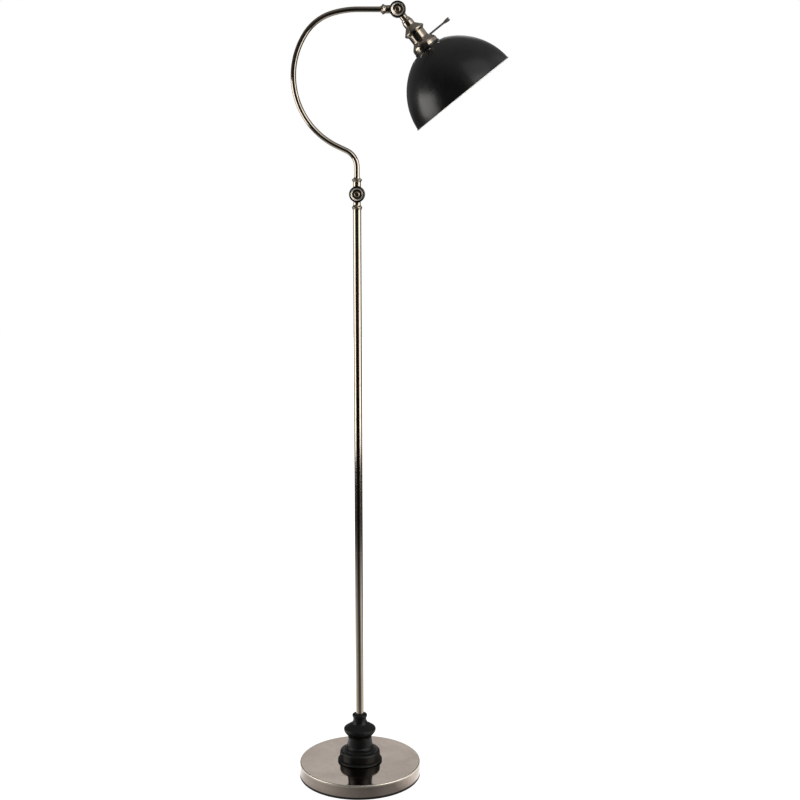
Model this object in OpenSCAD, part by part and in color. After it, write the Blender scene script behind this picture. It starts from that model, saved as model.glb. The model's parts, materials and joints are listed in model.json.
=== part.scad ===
// Bridge floor lamp: weighted base, turned spindle, three-piece stem, hooked arm and tilting task shade.
// Origin: centre of the base on the floor. +X: the side the shade hangs on. +Z: up.
// The arm and the shade lie in the plane y = 0, and both knuckles turn about axes along Y.

/* [Base] */
// Diameter of the base cover
base_d = 250; // [200:1:320]
// Height of the cover's top face above the floor
base_h = 25; // [23:0.5:40]
// Thickness of the floor pad
pad_t = 4; // [2:0.5:5]
// How far the pad stands back from the cover's edge
pad_inset = 1.5; // [1.5:0.5:6]
// Sheet thickness of the spun cover
cover_t = 1.2; // [0.8:0.1:2]
// Radius of the cover's top edge
cover_edge_r = 2.5; // [1.5:0.5:4]
// Air between the weight and the cover's wall
weight_gap = 1.5; // [0.5:0.5:3]
// Depth of the hollow ring in the weight's underside
weight_relief = 8; // [4:0.5:10]

/* [Cord outlet] */
// Height of the outlet's axis above the floor
outlet_z = 10; // [9:0.5:12]
// Diameter of the hole that the mains cord leaves through
outlet_bore_d = 6.5; // [5:0.1:7]
// Outside diameter of the bushing's body
bushing_d = 9.2; // [8.6:0.1:10]
// Diameter of the bushing's outer flange
bushing_flange_d = 12; // [11:0.5:13]
// Length of the bushing inside the wall
bushing_l = 9; // [6:0.5:14]

/* [Centre pipe] */
// Outside diameter of the threaded pipe that holds the base and the stem together
pipe_d = 9.8; // [9:0.1:11]
// Bore of the pipe
pipe_bore = 6.6; // [5.8:0.1:7]
// Width of the pipe's hexagon nut across its flats
nut_af = 17; // [15:1:20]
// Thickness of the nut
nut_t = 4; // [4:0.5:6]
// Diameter of the washer under the weight
washer_d = 32; // [26:1:40]
// Thickness of the washer
washer_t = 1.5; // [1:0.5:3]
// Diameter of the hollow under the weight that takes the nut
nut_well_d = 40; // [34:1:60]

/* [Spindle] */
// Height of the black spindle above the base
spindle_h = 108; // [100:1:120]
// Diameter of the rounded foot
foot_d = 91.6; // [88:0.2:110]
// Diameter of the ring above the foot
ring_d = 83; // [80:0.2:86]
// Diameter of the small ring under the waist
step_d = 66; // [64:0.5:74]
// Diameter of the waist at its narrowest
waist_d = 48; // [44:0.5:54]
// Diameter of the bulge
bulge_d = 65.6; // [60:0.2:76]
// Diameter of the neck under the top bead
neck_d = 27.2; // [24:0.2:28]
// Diameter of the top bead
bead_d = 30.5; // [28:0.5:36]

/* [Stem] */
// Outside diameter of the stem tubes
stem_d = 16; // [14:0.5:18]
// Wall of the stem tubes
stem_wall = 1.2; // [0.8:0.1:1.5]
// Length of stem that each tube shows
section_l = 344; // [200:1:420]
// How deep the lowest tube stands in the spindle
stem_seat = 14; // [8:1:20]
// How far a coupler reaches into each tube
coupler_reach = 22; // [12:1:40]

/* [Knuckles] */
// Diameter of the knuckle discs
knuckle_d = 31.2; // [28:0.2:36]
// Thickness of a whole knuckle
knuckle_w = 17; // [16:0.5:22]
// Space between the two halves
half_gap = 0.8; // [0.6:0.1:1.2]
// Thickness of the friction disc between the halves
friction_t = 0.6; // [0.3:0.1:0.8]
// Depth of the dish in each outer face
dish_depth = 2.8; // [2:0.1:3.4]
// Diameter of the dish at its mouth
dish_d = 26; // [24:0.5:26.5]
// Diameter of the pivot screw
pivot_d = 6; // [5:0.1:6.4]
// Diameter of the pivot screw's domed head
pivot_head_d = 11.6; // [10:0.2:13]
// Diameter of the necks on the stem's side and the head's side
plain_neck_d = 14.2; // [13.8:0.1:15]
// Diameter of the necks at the arm's ends
arm_neck_d = 15.4; // [14:0.1:16]
// Length of the stem's neck from the pivot
stem_neck_l = 20; // [19:0.5:26]
// Length of the arm's necks from the pivot
arm_neck_l = 22.5; // [20:0.5:28]
// Length of the head's neck from the pivot
head_neck_l = 22; // [20:0.5:28]
// Length of the beaded collars
collar_l = 10; // [8:0.5:14]
// Diameter of the beaded collars
collar_d = 19.8; // [19.4:0.2:24]

/* [Arm] */
// Outside diameter of the arm tube
arm_d = 10.5; // [9.5:0.1:12]
// Wall of the arm tube
arm_wall = 1; // [0.8:0.1:1.2]
// Straight length above the stem's knuckle
arm_rise = 30; // [26:1:60]
// Radius of the bend that leads away from the stem
bend_out_r = 34; // [26:1:50]
// Angle of that bend in degrees
bend_out_angle = 65; // [50:1:75]
// Straight length after it
arm_slant = 19; // [5:1:40]
// Radius of the hook's lower stretch
hook_low_r = 145; // [110:1:180]
// Angle of the hook's lower stretch in degrees
hook_low_angle = 98; // [85:1:105]
// Radius of the hook's shoulder
hook_mid_r = 93; // [70:1:120]
// Angle of the hook's shoulder in degrees
hook_mid_angle = 40; // [30:1:50]
// Radius of the hook's flattening end
hook_end_r = 170; // [120:1:220]
// Straight length before the head's knuckle
arm_reach = 53; // [40:1:120]

/* [Head] */
// Angle of the head below the horizontal at rest, in degrees
head_drop = 51.6; // [30:0.2:80]
// Length of the small turned cap
cap_l = 16; // [12:0.5:22]
// Diameter of the small turned cap
cap_d = 21.4; // [20:0.2:25]
// Length of the socket cup
cup_l = 32; // [31:0.5:40]
// Diameter of the socket cup's cylinder
cup_d = 34.2; // [33.6:0.2:37]
// Diameter of the socket cup's ring
cup_ring_d = 42.4; // [40:0.2:48]
// Wall of the socket cup
cup_wall = 1.2; // [0.8:0.1:1.4]
// Length of the flared shade holder
holder_l = 19.3; // [18:0.1:26]
// Diameter of the shade holder
holder_d = 52.4; // [51.6:0.2:54]
// Wall of the shade holder
holder_wall = 1.2; // [0.8:0.1:1.4]

/* [Lampholder] */
// Radius of the screw shell's bore, for an E26 or E27 lamp base
shell_r = 13.3; // [13.2:0.05:13.6]
// Depth of the screw shell
shell_depth = 26; // [22:0.5:28]
// Sheet thickness of the screw shell
shell_t = 0.5; // [0.3:0.1:0.6]
// Outside diameter of the lampholder's threaded skirt
skirt_d = 39.6; // [36:0.2:40]
// Height of the ring that clamps the shade
ring_h = 5; // [4:0.5:8]

/* [Shade] */
// Diameter of the shade's rim
rim_d = 218.4; // [180:0.2:260]
// Height of the shade along its axis
shade_h = 111.2; // [96:0.2:116]
// Diameter where the flare under the collar runs into the shade's curve
crown_d = 75.2; // [72:0.2:78]
// Angle between the shade's side and its axis at the rim, in degrees
rim_lean = 4; // [2:0.5:8]
// Sheet thickness of the shade
shade_t = 1; // [0.6:0.1:1.2]
// Height of the raised collar on top of the shade
shade_collar_h = 3.3; // [2.5:0.1:4]
// Diameter of the rolled bead on the rim
hem_d = 2.5; // [2:0.1:4]
// Number of vent holes
vent_count = 12; // [6:1:16]
// Diameter of a vent hole
vent_d = 4; // [2:0.5:6]
// Distance of the vent holes from the axis
vent_r = 41.5; // [40:0.5:50]

/* [Switch] */
// Distance of the switch rod from the pivot, along the head's axis
switch_s = 74; // [73:0.5:75]
// Diameter of the switch rod
rod_d = 3.8; // [3:0.1:4.2]
// Distance of the knob's end from the head's axis
switch_reach = 66; // [50:1:90]
// Length of the knob
knob_l = 12.5; // [10:0.5:16]
// Diameter of the knob
knob_d = 7.2; // [6.4:0.2:10]

/* [Wires] */
// Diameter of the wire run inside the stem
stem_lead_d = 4.6; // [3:0.1:4.8]
// Diameter of the wire run inside the arm and the head
arm_lead_d = 4.2; // [3:0.1:4.4]
// Radius of the wire's bend under the centre pipe
lead_bend_r = 6; // [6:0.5:8]

/* [Fits] */
// Radial clearance between fixed pieces that fit into each other
fit = 0.05; // [0.03:0.01:0.08]
// Radial clearance between a turning piece and its bore
running = 0.06; // [0.03:0.01:0.1]
// Clearance round a neck where the other half of the knuckle turns past it
turn_gap = 0.5; // [0.4:0.1:0.8]
// Clearance between flat faces that turn on each other
face_gap = 0.1; // [0.05:0.05:0.2]

/* [Hidden] */
$fn = 96;

// Finishes
BRASS = [0.62, 0.57, 0.49];
BRIGHT_BRASS = [0.80, 0.66, 0.36];
BLACK = [0.10, 0.10, 0.10];
STEEL = [0.66, 0.67, 0.68];
IRON = [0.32, 0.32, 0.33];
FIBRE = [0.48, 0.30, 0.20];
WIRE = [0.22, 0.20, 0.18];

// Degrees between the points of a rounded corner
ARC_STEP = 15;
// How far a cut runs past the face it opens
PAST = 1;
// How far the inner ring of a bent tube reaches into each stretch
JOIN = 0.5;
// Hair's breadth between the stretches of a bent tube, which the inner ring bridges
SEAM = 0.02;

// Base
base_r = base_d / 2;
cover_taper = 0.6;
cover_lip_r = 1.2;
weight_top = base_h - cover_t - 0.2;
weight_r = base_r - cover_t - weight_gap;
channel_w = 12;
channel_top = outlet_z + channel_w / 2;
weight_web = 3.5;
weight_hub_wall = 10;
weight_rim_wall = 22;
well_top = weight_top - weight_web;
nut_bottom = well_top - washer_t - nut_t;
thread_past_nut = 0.5;
pipe_hole_r = pipe_d / 2 + 0.3;
lead_end_gap = 3;

// Spindle: heights above the base's top face, as shares of its height
spindle_top = base_h + spindle_h;
foot_top = base_h + 0.36 * spindle_h;
vase_top = base_h + 0.852 * spindle_h;
waist_z = base_h + 0.545 * spindle_h;
bulge_z = base_h + 0.672 * spindle_h;
foot_roof = 8;
foot_core_r = waist_d / 2 + 1.5;
vase_core_r = waist_d / 2 - 6.5;
stem_bottom = spindle_top - stem_seat;
plug_l = 24;
plug_web = 5;
pipe_top = stem_bottom + plug_l - plug_web;

// Stem
stem_bore = stem_d - 2 * stem_wall;
joint_lower_z = spindle_top + section_l;
joint_upper_z = joint_lower_z + section_l;
stem_top = joint_upper_z + section_l;
stem_spigot_l = 25;
tube_chamfer = 0.3;
wire_bore = 6.6;

// Knuckles
knuckle_r = knuckle_d / 2;
half_w = knuckle_w / 2;
stem_pivot_z = stem_top + collar_l + stem_neck_l;
dish_floor_r = dish_d / 2 - 1.6;
seat_z = half_w - dish_depth;
nut_h = 3.2;
spring_t = 0.8;
spring_d = 11;
pivot_nut_af = 9;

// Arm
arm_bore = arm_d - 2 * arm_wall;
arm_spigot_l = 16;
arm_wire_bore = 5;
// The arm's stretches from the stem's pivot on: length of a straight or radius of a bend, then its turn
ARM = [
    [arm_rise, 0],
    [bend_out_r, bend_out_angle],
    [arm_slant, 0],
    [hook_low_r, -hook_low_angle],
    [hook_mid_r, -hook_mid_angle],
    [hook_end_r, hook_low_angle + hook_mid_angle - bend_out_angle - 90],
    [arm_reach, 0]
];
arm_start = [0, stem_pivot_z + arm_neck_l, 90];
arm_end = pose_after(ARM, arm_start, len(ARM));
head_pivot = [arm_end.x + arm_neck_l, arm_end.y];

// Head: distances along its axis from the pivot
cap_s = head_neck_l;
cup_s = cap_s + cap_l;
holder_s = cup_s + cup_l;
shade_s = holder_s + holder_l;
rim_s = shade_s + shade_h;
cup_roof = 8;
cup_bore_r = cup_d / 2 - cup_wall;
holder_bore_r = holder_d / 2 - holder_wall;
holder_spigot_l = 8;
holder_swell = 11;
nipple_past = 5;
cup_nut_t = 3.5;

// Lampholder
holder_neck_r = cup_bore_r - fit - 0.8 - 0.3;
body_rise = 10;
body_top_s = holder_s - body_rise;
skirt_drop = 7.2;
skirt_s = holder_s + skirt_drop;
flange_t = 2;
flange_s = shade_s - flange_t;
shell_past_shade = 21.5;
mouth_lip = 1.5;
contact_seat = 2.5;
shell_mouth_s = shade_s + shell_past_shade;
shell_floor_s = shell_mouth_s - shell_depth - shell_t;
mouth_s = shell_mouth_s + mouth_lip;

// Shade
shade_top_r = skirt_d / 2 + 0.4;
collar_r = holder_d / 2 + 1.2;
flare_h = 2.8;
flare_s = shade_s + shade_collar_h + flare_h;
// The curve's radius, and its centre's distance beyond the axis, from its two ends and its lean at the rim
dome_w = (rim_d - crown_d) / 2;
dome_h = rim_s - flare_s;
dome_r = (pow(dome_w, 2) + pow(dome_h, 2)) / 2 / (dome_w * cos(rim_lean) - dome_h * sin(rim_lean));
dome_offset = dome_r * cos(rim_lean) - rim_d / 2;
dome_s = rim_s + dome_r * sin(rim_lean);
vent_s = dome_s - sqrt(pow(dome_r, 2) - pow(vent_r + dome_offset, 2));
vent_lean = asin((vent_r + dome_offset) / dome_r);

// Switch
rod_inner = 6;
knob_start = switch_reach - knob_l;

// Rounding of turned profiles

function unit(v) = v / norm(v);
function turn_between(a, b) = (b - a + 540) % 360 - 180;

// A profile's corners are [radius, height] or [radius, height, rounding]
function point(k) = [k[0], k[1]];
function rounding(k) = len(k) > 2 ? k[2] : 0;

// How much of its side towards another corner the rounding at corner k may take: the two share the side
function share(k, other) = 0.98 * norm(point(k) - point(other))
    * rounding(k) / (rounding(k) + rounding(other));

// The points that round a corner, with a smaller radius where its sides are short
function corner(before, k, after) =
    rounding(k) == 0 ? [point(k)] :
    let (
        u = unit(point(before) - point(k)),
        v = unit(point(after) - point(k)),
        half = acos(u * v) / 2,
        reach = min(rounding(k) / tan(half), share(k, before), share(k, after)),
        radius = reach * tan(half),
        centre = point(k) + unit(u + v) * radius / sin(half),
        p = point(k) + u * reach - centre,
        q = point(k) + v * reach - centre,
        start = atan2(p.y, p.x),
        sweep = turn_between(start, atan2(q.y, q.x)),
        steps = ceil(abs(sweep) / ARC_STEP)
    )
    [for (i = [0:steps]) centre + radius * [cos(start + sweep * i / steps), sin(start + sweep * i / steps)]];

// A profile's corners as plain points
function rounded(corners) =
    let (n = len(corners))
    [for (i = [0:n - 1]) each corner(corners[(i + n - 1) % n], corners[i], corners[(i + 1) % n])];

module turned(corners) {
    rotate_extrude() polygon(rounded(corners));
}

// A straight bore along +Z from one height to another
module bore(r, from, to) {
    translate([0, 0, from]) cylinder(r = r, h = to - from);
}

// A straight tube or rod along +Z from one height to another
module sleeve(r, bore_r, from, to) {
    difference() {
        translate([0, 0, from]) cylinder(r = r, h = to - from);
        bore(bore_r, from - PAST, to + PAST);
    }
}

module hexagon(across_flats, h) {
    cylinder(r = across_flats / sqrt(3), h = h, $fn = 6);
}

// Runs of tube in the plane y = 0: a pose is [x, z, heading in degrees above +X]

function pose_step(p, s) =
    s[1] == 0 ? [p.x + s[0] * cos(p.z), p.y + s[0] * sin(p.z), p.z] :
    let (side = sign(s[1]), after = p.z + s[1])
    [p.x + s[0] * side * (sin(after) - sin(p.z)), p.y - s[0] * side * (cos(after) - cos(p.z)), after];

function pose_after(run, start, count) =
    count == 0 ? start : pose_step(pose_after(run, start, count - 1), run[count - 1]);

// One stretch of a run, from the origin along +X, with the child outline as its section
module stretch(s) {
    if (s[1] == 0) rotate([90, 0, 90]) linear_extrude(s[0] - SEAM) children();
    if (s[1] > 0) bend(s[0], s[1]) children();
    if (s[1] < 0) mirror([0, 0, 1]) bend(s[0], -s[1]) children();
}

// A bend that starts at the origin along +X and turns towards +Z
module bend(r, turn) {
    rotate([90, 90, 0]) translate([-r, 0, 0]) rotate_extrude(angle = turn - asin(SEAM / r))
        translate([r, 0]) children();
}

// The section of a tube, or of a solid rod where bore_r is 0
module ring(r, bore_r) {
    difference() {
        circle(r = r);
        if (bore_r > 0) circle(r = bore_r);
    }
}

// A bent tube, one solid: a thinner ring inside the wall carries on from each stretch into the next
module bent_tube(run, r, bore_r) {
    wall = r - bore_r;
    for (i = [0:len(run) - 1]) {
        p = pose_after(run, [0, 0, 0], i);
        translate([p.x, 0, p.y]) rotate([0, -p.z, 0]) {
            stretch(run[i]) ring(r, bore_r);
            if (i > 0) translate([-JOIN, 0, 0]) rotate([90, 0, 90]) linear_extrude(2 * JOIN)
                ring(r - 0.2 * wall, bore_r == 0 ? 0 : bore_r + 0.2 * wall);
        }
    }
}

// Moves a run's start from the origin along +X to a pose
module from_pose(p) {
    translate([p.x, 0, p.y]) rotate([0, -p.z, 0]) children();
}

// Places a piece of the head: its +Z runs from the pivot to the shade's mouth, its -X to the switch
module in_head() {
    translate([head_pivot.x, 0, head_pivot.y]) rotate([0, 90 + head_drop, 0]) children();
}

// Places a knuckle's front half, whose own +Z is its outer side and +X its neck
module front_of(pivot, heading) {
    translate([pivot.x, 0, pivot.y]) rotate([0, -heading, 0]) rotate([90, 0, 0]) children();
}

module rear_of(pivot, heading) {
    translate([pivot.x, 0, pivot.y]) rotate([0, -heading, 0]) rotate([-90, 0, 0]) children();
}

// Base

module base_pad() {
    color(BLACK) cylinder(r = base_r - pad_inset, h = pad_t);
}

module base_weight() {
    chamfer = cover_edge_r;
    color(IRON) difference() {
        turned([
            [0, pad_t], [weight_r, pad_t], [weight_r, weight_top - chamfer],
            [weight_r - chamfer, weight_top], [0, weight_top]
        ]);
        bore(pipe_hole_r, pad_t - PAST, weight_top + PAST);
        bore(nut_well_d / 2, pad_t - PAST, well_top);
        sleeve(weight_r - weight_rim_wall, nut_well_d / 2 + weight_hub_wall,
            pad_t - PAST, pad_t + weight_relief);
        translate([-channel_w / 2, 0, pad_t - PAST]) cube([channel_w, base_r, channel_top - pad_t + PAST]);
    }
}

// The cover's section, grown inwards by the sheet's thickness for its hollow
module cover_section(r, top, edge) {
    polygon(rounded([
        [0, pad_t], [r, pad_t, edge ? cover_lip_r : 0], [r, base_h - 9],
        [r - cover_taper, top, edge ? cover_edge_r : cover_edge_r - cover_t], [0, top]
    ]));
}

module base_cover() {
    color(BRASS) difference() {
        rotate_extrude() difference() {
            cover_section(base_r, base_h, true);
            translate([0, -PAST]) square([base_r - cover_t, pad_t + PAST]);
            cover_section(base_r - cover_t, base_h - cover_t, false);
        }
        bore(pipe_hole_r, base_h - cover_t - PAST, base_h + PAST);
        translate([0, base_r - bushing_l, outlet_z]) rotate([-90, 0, 0])
            cylinder(d = bushing_d + 2 * fit, h = bushing_l + PAST);
    }
}

module cord_bushing() {
    flange_t = 2.2;
    ridge_start = cover_t + 0.3;
    color(BLACK) translate([0, base_r, outlet_z]) rotate([-90, 0, 0]) turned([
        [outlet_bore_d / 2, -bushing_l], [bushing_d / 2 - 0.3, -bushing_l], [bushing_d / 2, -ridge_start - 2],
        [bushing_d / 2 + 0.5, -ridge_start - 0.4], [bushing_d / 2 + 0.5, -ridge_start],
        [bushing_d / 2, -ridge_start], [bushing_d / 2, fit], [bushing_flange_d / 2, fit],
        [bushing_flange_d / 2, flange_t, 1], [outlet_bore_d / 2 + 0.6, flange_t],
        [outlet_bore_d / 2, flange_t - 0.6]
    ]);
}

module base_washer() {
    color(STEEL) sleeve(washer_d / 2, pipe_d / 2 + fit, well_top - washer_t, well_top);
}

module base_nut() {
    color(STEEL) difference() {
        translate([0, 0, nut_bottom]) hexagon(nut_af, nut_t);
        bore(pipe_d / 2 + fit, nut_bottom - PAST, nut_bottom + nut_t + PAST);
    }
}

module lamp_pipe() {
    color(STEEL) sleeve(pipe_d / 2, pipe_bore / 2, nut_bottom - thread_past_nut, pipe_top);
}

// Spindle

module spindle_foot() {
    foot_crown = base_h + 0.082 * spindle_h;
    ring_crown = base_h + 0.262 * spindle_h;
    step_crown = base_h + 0.292 * spindle_h;
    bead_crown = base_h + 0.335 * spindle_h;
    bead_r = waist_d / 2 + 4.5;
    color(BLACK) difference() {
        turned([
            [0, base_h], [foot_d / 2, base_h, 4], [foot_d / 2, foot_crown, 5],
            [ring_d / 2 - 0.8, foot_crown + 1.8], [ring_d / 2, foot_crown + 3], [ring_d / 2, ring_crown, 5.5],
            [step_d / 2 + 1, ring_crown + 0.2],
            [step_d / 2 + 0.2, ring_crown + 0.5], [step_d / 2, step_crown, 1.8],
            [bead_r + 0.5, step_crown + 0.6], [bead_r, step_crown + 1], [bead_r, bead_crown, 1.2],
            [waist_d / 2 + 2.2, foot_top], [0, foot_top]
        ]);
        bore(pipe_d / 2 + fit, base_h - PAST, foot_top + PAST);
        bore(foot_core_r, base_h - PAST, foot_top - foot_roof);
    }
}

module spindle_vase() {
    bulge_half = 0.026 * spindle_h;
    color(BLACK) difference() {
        turned([
            [0, foot_top], [waist_d / 2 + 2, foot_top, 0.5], [waist_d / 2, waist_z, 9],
            [bulge_d / 2 + 0.2, bulge_z - bulge_half, 8], [bulge_d / 2 + 0.2, bulge_z + bulge_half, 4.5],
            [neck_d / 2 + 2.6, vase_top - 5.5, 6], [neck_d / 2 + 0.4, vase_top], [0, vase_top]
        ]);
        bore(pipe_d / 2 + fit, foot_top - PAST, vase_top + PAST);
        bore(vase_core_r, foot_top - PAST, bulge_z);
    }
}

module spindle_collar() {
    bead_z = spindle_top - 5.5;
    color(BLACK) difference() {
        turned([
            [0, vase_top], [neck_d / 2 + 0.4, vase_top],
            [neck_d / 2, vase_top + 1.5], [neck_d / 2, bead_z - 4.2, 2],
            [bead_d / 2, bead_z - 1.8, 1.6], [bead_d / 2, bead_z + 2.2, 1.8],
            [stem_d / 2 + 1.8, spindle_top, 0.6], [0, spindle_top]
        ]);
        bore(pipe_d / 2 + fit, vase_top - PAST, stem_bottom + PAST);
        bore(stem_d / 2 + fit, stem_bottom, spindle_top + PAST);
    }
}

// Stem

module stem_plug() {
    plug_top = stem_bottom + plug_l;
    color(STEEL) difference() {
        bore(stem_bore / 2 - fit, stem_bottom, plug_top);
        bore(pipe_d / 2 + fit, stem_bottom - PAST, pipe_top + PAST);
        bore(wire_bore / 2, pipe_top, plug_top + PAST);
    }
}

// One stem tube, whose chamfered ends make its joints show as fine lines
module stem_section(from, to) {
    r = stem_d / 2;
    color(BRASS) difference() {
        turned([
            [0, from], [r - tube_chamfer, from], [r, from + tube_chamfer], [r, to - tube_chamfer],
            [r - tube_chamfer, to], [0, to]
        ]);
        bore(stem_bore / 2, from - PAST, to + PAST);
    }
}

module stem_coupler(z) {
    color(STEEL) sleeve(stem_bore / 2 - fit, wire_bore / 2, z - coupler_reach, z + coupler_reach);
}

// A beaded collar along +Z, wide at its first end where it covers a tube
module beaded_collar(bore_r, first_r, last_r) {
    difference() {
        turned([
            [0, 0], [first_r, 0], [first_r + 0.4, 0.18 * collar_l],
            [collar_d / 2 + 0.3, 0.42 * collar_l, 1.2],
            [collar_d / 2 - 0.4, 0.6 * collar_l, 1], [last_r + 0.4, 0.85 * collar_l, 1], [last_r, collar_l],
            [0, collar_l]
        ]);
        bore(bore_r + fit, -PAST, collar_l + PAST);
    }
}

module stem_collar() {
    color(BRASS) translate([0, 0, stem_top])
        beaded_collar(stem_bore / 2 - fit, stem_d / 2 + 0.5, plain_neck_d / 2 + 0.3);
}

// Knuckles: each half has its outer side along +Z and its neck along +X

module half_disc() {
    inner = half_gap / 2;
    turned([
        [0, inner], [knuckle_r, inner, 0.5], [knuckle_r, half_w, 2], [dish_d / 2, half_w, 0.4],
        [dish_floor_r, half_w - 0.6 * dish_depth, 0.8], [pivot_head_d / 2 + 1.2, seat_z, 0.6], [0, seat_z]
    ]);
}

// neck: diameter and length from the pivot; spigot: diameter and length beyond it
module knuckle_half(neck, spigot, wire, pivot_clearance) {
    root = knuckle_r - 2.4;
    clear_r = knuckle_r + turn_gap;
    difference() {
        union() {
            half_disc();
            rotate([0, 90, 0]) bore(neck.x / 2, root, neck.y);
            rotate([0, 90, 0]) bore(spigot.x / 2, neck.y - PAST, neck.y + spigot.y);
        }
        translate([0, 0, -knuckle_w]) cylinder(r = clear_r, h = knuckle_w + half_gap / 2);
        bore(pivot_d / 2 + pivot_clearance, -PAST, knuckle_w);
        rotate([0, 90, 0]) bore(wire / 2, clear_r, neck.y + spigot.y + PAST);
    }
}

// The screw's axis runs along +Z, out of the front half
module pivot_screw() {
    head_h = 3.4;
    rear_end = seat_z + face_gap + spring_t + nut_h + 0.6;
    color(BRIGHT_BRASS) difference() {
        union() {
            bore(pivot_d / 2, -rear_end, seat_z + PAST);
            turned([
                [0, seat_z], [pivot_head_d / 2, seat_z], [pivot_head_d / 2, seat_z + 1.2, 0.4],
                [pivot_head_d / 2 - 1.6, seat_z + head_h - 0.5, 2], [0, seat_z + head_h]
            ]);
        }
        translate([0, 0, seat_z + head_h - 1.8]) hexagon(4, 1.8 + PAST);
    }
}

module friction_disc() {
    color(FIBRE) translate([0, 0, half_gap / 2 - friction_t])
        sleeve(knuckle_r - 3, pivot_d / 2 + running, 0, friction_t);
}

module spring_washer() {
    top = seat_z + face_gap + spring_t;
    color(STEEL) sleeve(spring_d / 2, pivot_d / 2 + fit, -top, -top + spring_t);
}

module pivot_nut() {
    top = seat_z + face_gap + spring_t + nut_h;
    color(BRIGHT_BRASS) difference() {
        translate([0, 0, -top]) hexagon(pivot_nut_af, nut_h);
        bore(pivot_d / 2 + fit, -top - PAST, -top + nut_h + PAST);
    }
}

stem_pivot = [0, stem_pivot_z];

module stem_knuckle_front() {
    color(BRASS) front_of(stem_pivot, -90)
        knuckle_half([plain_neck_d, stem_neck_l],
            [stem_bore - 2 * fit, collar_l + stem_spigot_l], wire_bore, fit);
}

module stem_knuckle_rear() {
    color(BRASS) rear_of(stem_pivot, 90)
        knuckle_half([arm_neck_d, arm_neck_l], [arm_bore - 2 * fit, arm_spigot_l], arm_wire_bore, running);
}

module head_knuckle_rear() {
    color(BRASS) rear_of(head_pivot, 180)
        knuckle_half([arm_neck_d, arm_neck_l], [arm_bore - 2 * fit, arm_spigot_l], arm_wire_bore, running);
}

module head_knuckle_front() {
    nipple_l = cap_l + cup_roof + nipple_past;
    color(BRASS) front_of(head_pivot, -head_drop)
        knuckle_half([plain_neck_d, head_neck_l], [pipe_d, nipple_l], arm_wire_bore, fit);
}

// Arm

module arm_tube() {
    color(BRASS) from_pose(arm_start) bent_tube(ARM, arm_d / 2, arm_bore / 2);
}

module arm_collar() {
    translate([0, 0, collar_l]) mirror([0, 0, 1])
        beaded_collar(arm_d / 2, arm_d / 2 + 1, arm_neck_d / 2 - 0.2);
}

module arm_collar_lower() {
    color(BRASS) translate([arm_start.x, 0, arm_start.y]) arm_collar();
}

module arm_collar_upper() {
    color(BRASS) translate([arm_end.x, 0, arm_end.y]) rotate([0, -90, 0]) arm_collar();
}

// Head

module socket_cap() {
    r = cap_d / 2;
    color(BRASS) in_head() difference() {
        turned([
            [0, cap_s], [plain_neck_d / 2 + 0.2, cap_s],
            [r - 1.9, cap_s + 1.8, 0.8], [r - 1.5, cap_s + 4.4, 0.8],
            [r - 1.1, cap_s + 5.2], [r - 0.2, cap_s + 7.2, 1],
            [r, cap_s + 8.4], [r, cup_s - 1], [r - 0.4, cup_s],
            [0, cup_s]
        ]);
        bore(pipe_d / 2 + fit, cap_s - PAST, cup_s + PAST);
    }
}

module socket_cup() {
    r = cup_d / 2;
    ring_s = cup_s + 12.4;
    color(BRASS) in_head() difference() {
        turned([
            [0, cup_s], [cap_d / 2, cup_s], [cap_d / 2 + 0.4, cup_s + 0.8],
            [cup_ring_d / 2 - 2.2, ring_s - 3.4, 2],
            [cup_ring_d / 2, ring_s - 1, 1.5], [cup_ring_d / 2, ring_s + 1.4, 2],
            [r, ring_s + 5.6, 1], [r, holder_s],
            [0, holder_s]
        ]);
        bore(cup_bore_r, cup_s + cup_roof, holder_s + PAST);
        bore(pipe_d / 2 + fit, cup_s - PAST, cup_s + cup_roof + PAST);
    }
}

module cup_nut() {
    seat = cup_s + cup_roof;
    color(STEEL) in_head() difference() {
        translate([0, 0, seat]) hexagon(14, cup_nut_t);
        bore(pipe_d / 2 + fit, seat - PAST, seat + cup_nut_t + PAST);
    }
}

module shade_holder() {
    r = holder_d / 2;
    top_r = cup_d / 2 + 0.2;
    full_s = holder_s + holder_swell;
    color(BRASS) in_head() difference() {
        turned([
            [0, holder_s - holder_spigot_l],
            [cup_bore_r - fit, holder_s - holder_spigot_l], [cup_bore_r - fit, holder_s],
            [top_r, holder_s], [top_r + 0.6, holder_s + 1.8, 1.5],
            [r - 1.2, full_s - 1.6, 3], [r, full_s + 2, 3],
            [r, shade_s], [0, shade_s]
        ]);
        bore(holder_neck_r + 0.3, holder_s - holder_spigot_l - PAST, shade_s);
        turned([
            [0, holder_s + 1.4], [top_r - holder_wall, holder_s + 1.4],
            [top_r - holder_wall + 0.8, holder_s + 2.6],
            [holder_bore_r - 1.2, full_s - 0.8], [holder_bore_r, full_s + 2], [holder_bore_r, shade_s + PAST],
            [0, shade_s + PAST]
        ]);
        translate([0, 0, switch_s]) rotate([0, -90, 0]) bore(rod_d / 2 + 0.4, holder_neck_r, holder_d);
    }
}

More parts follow.
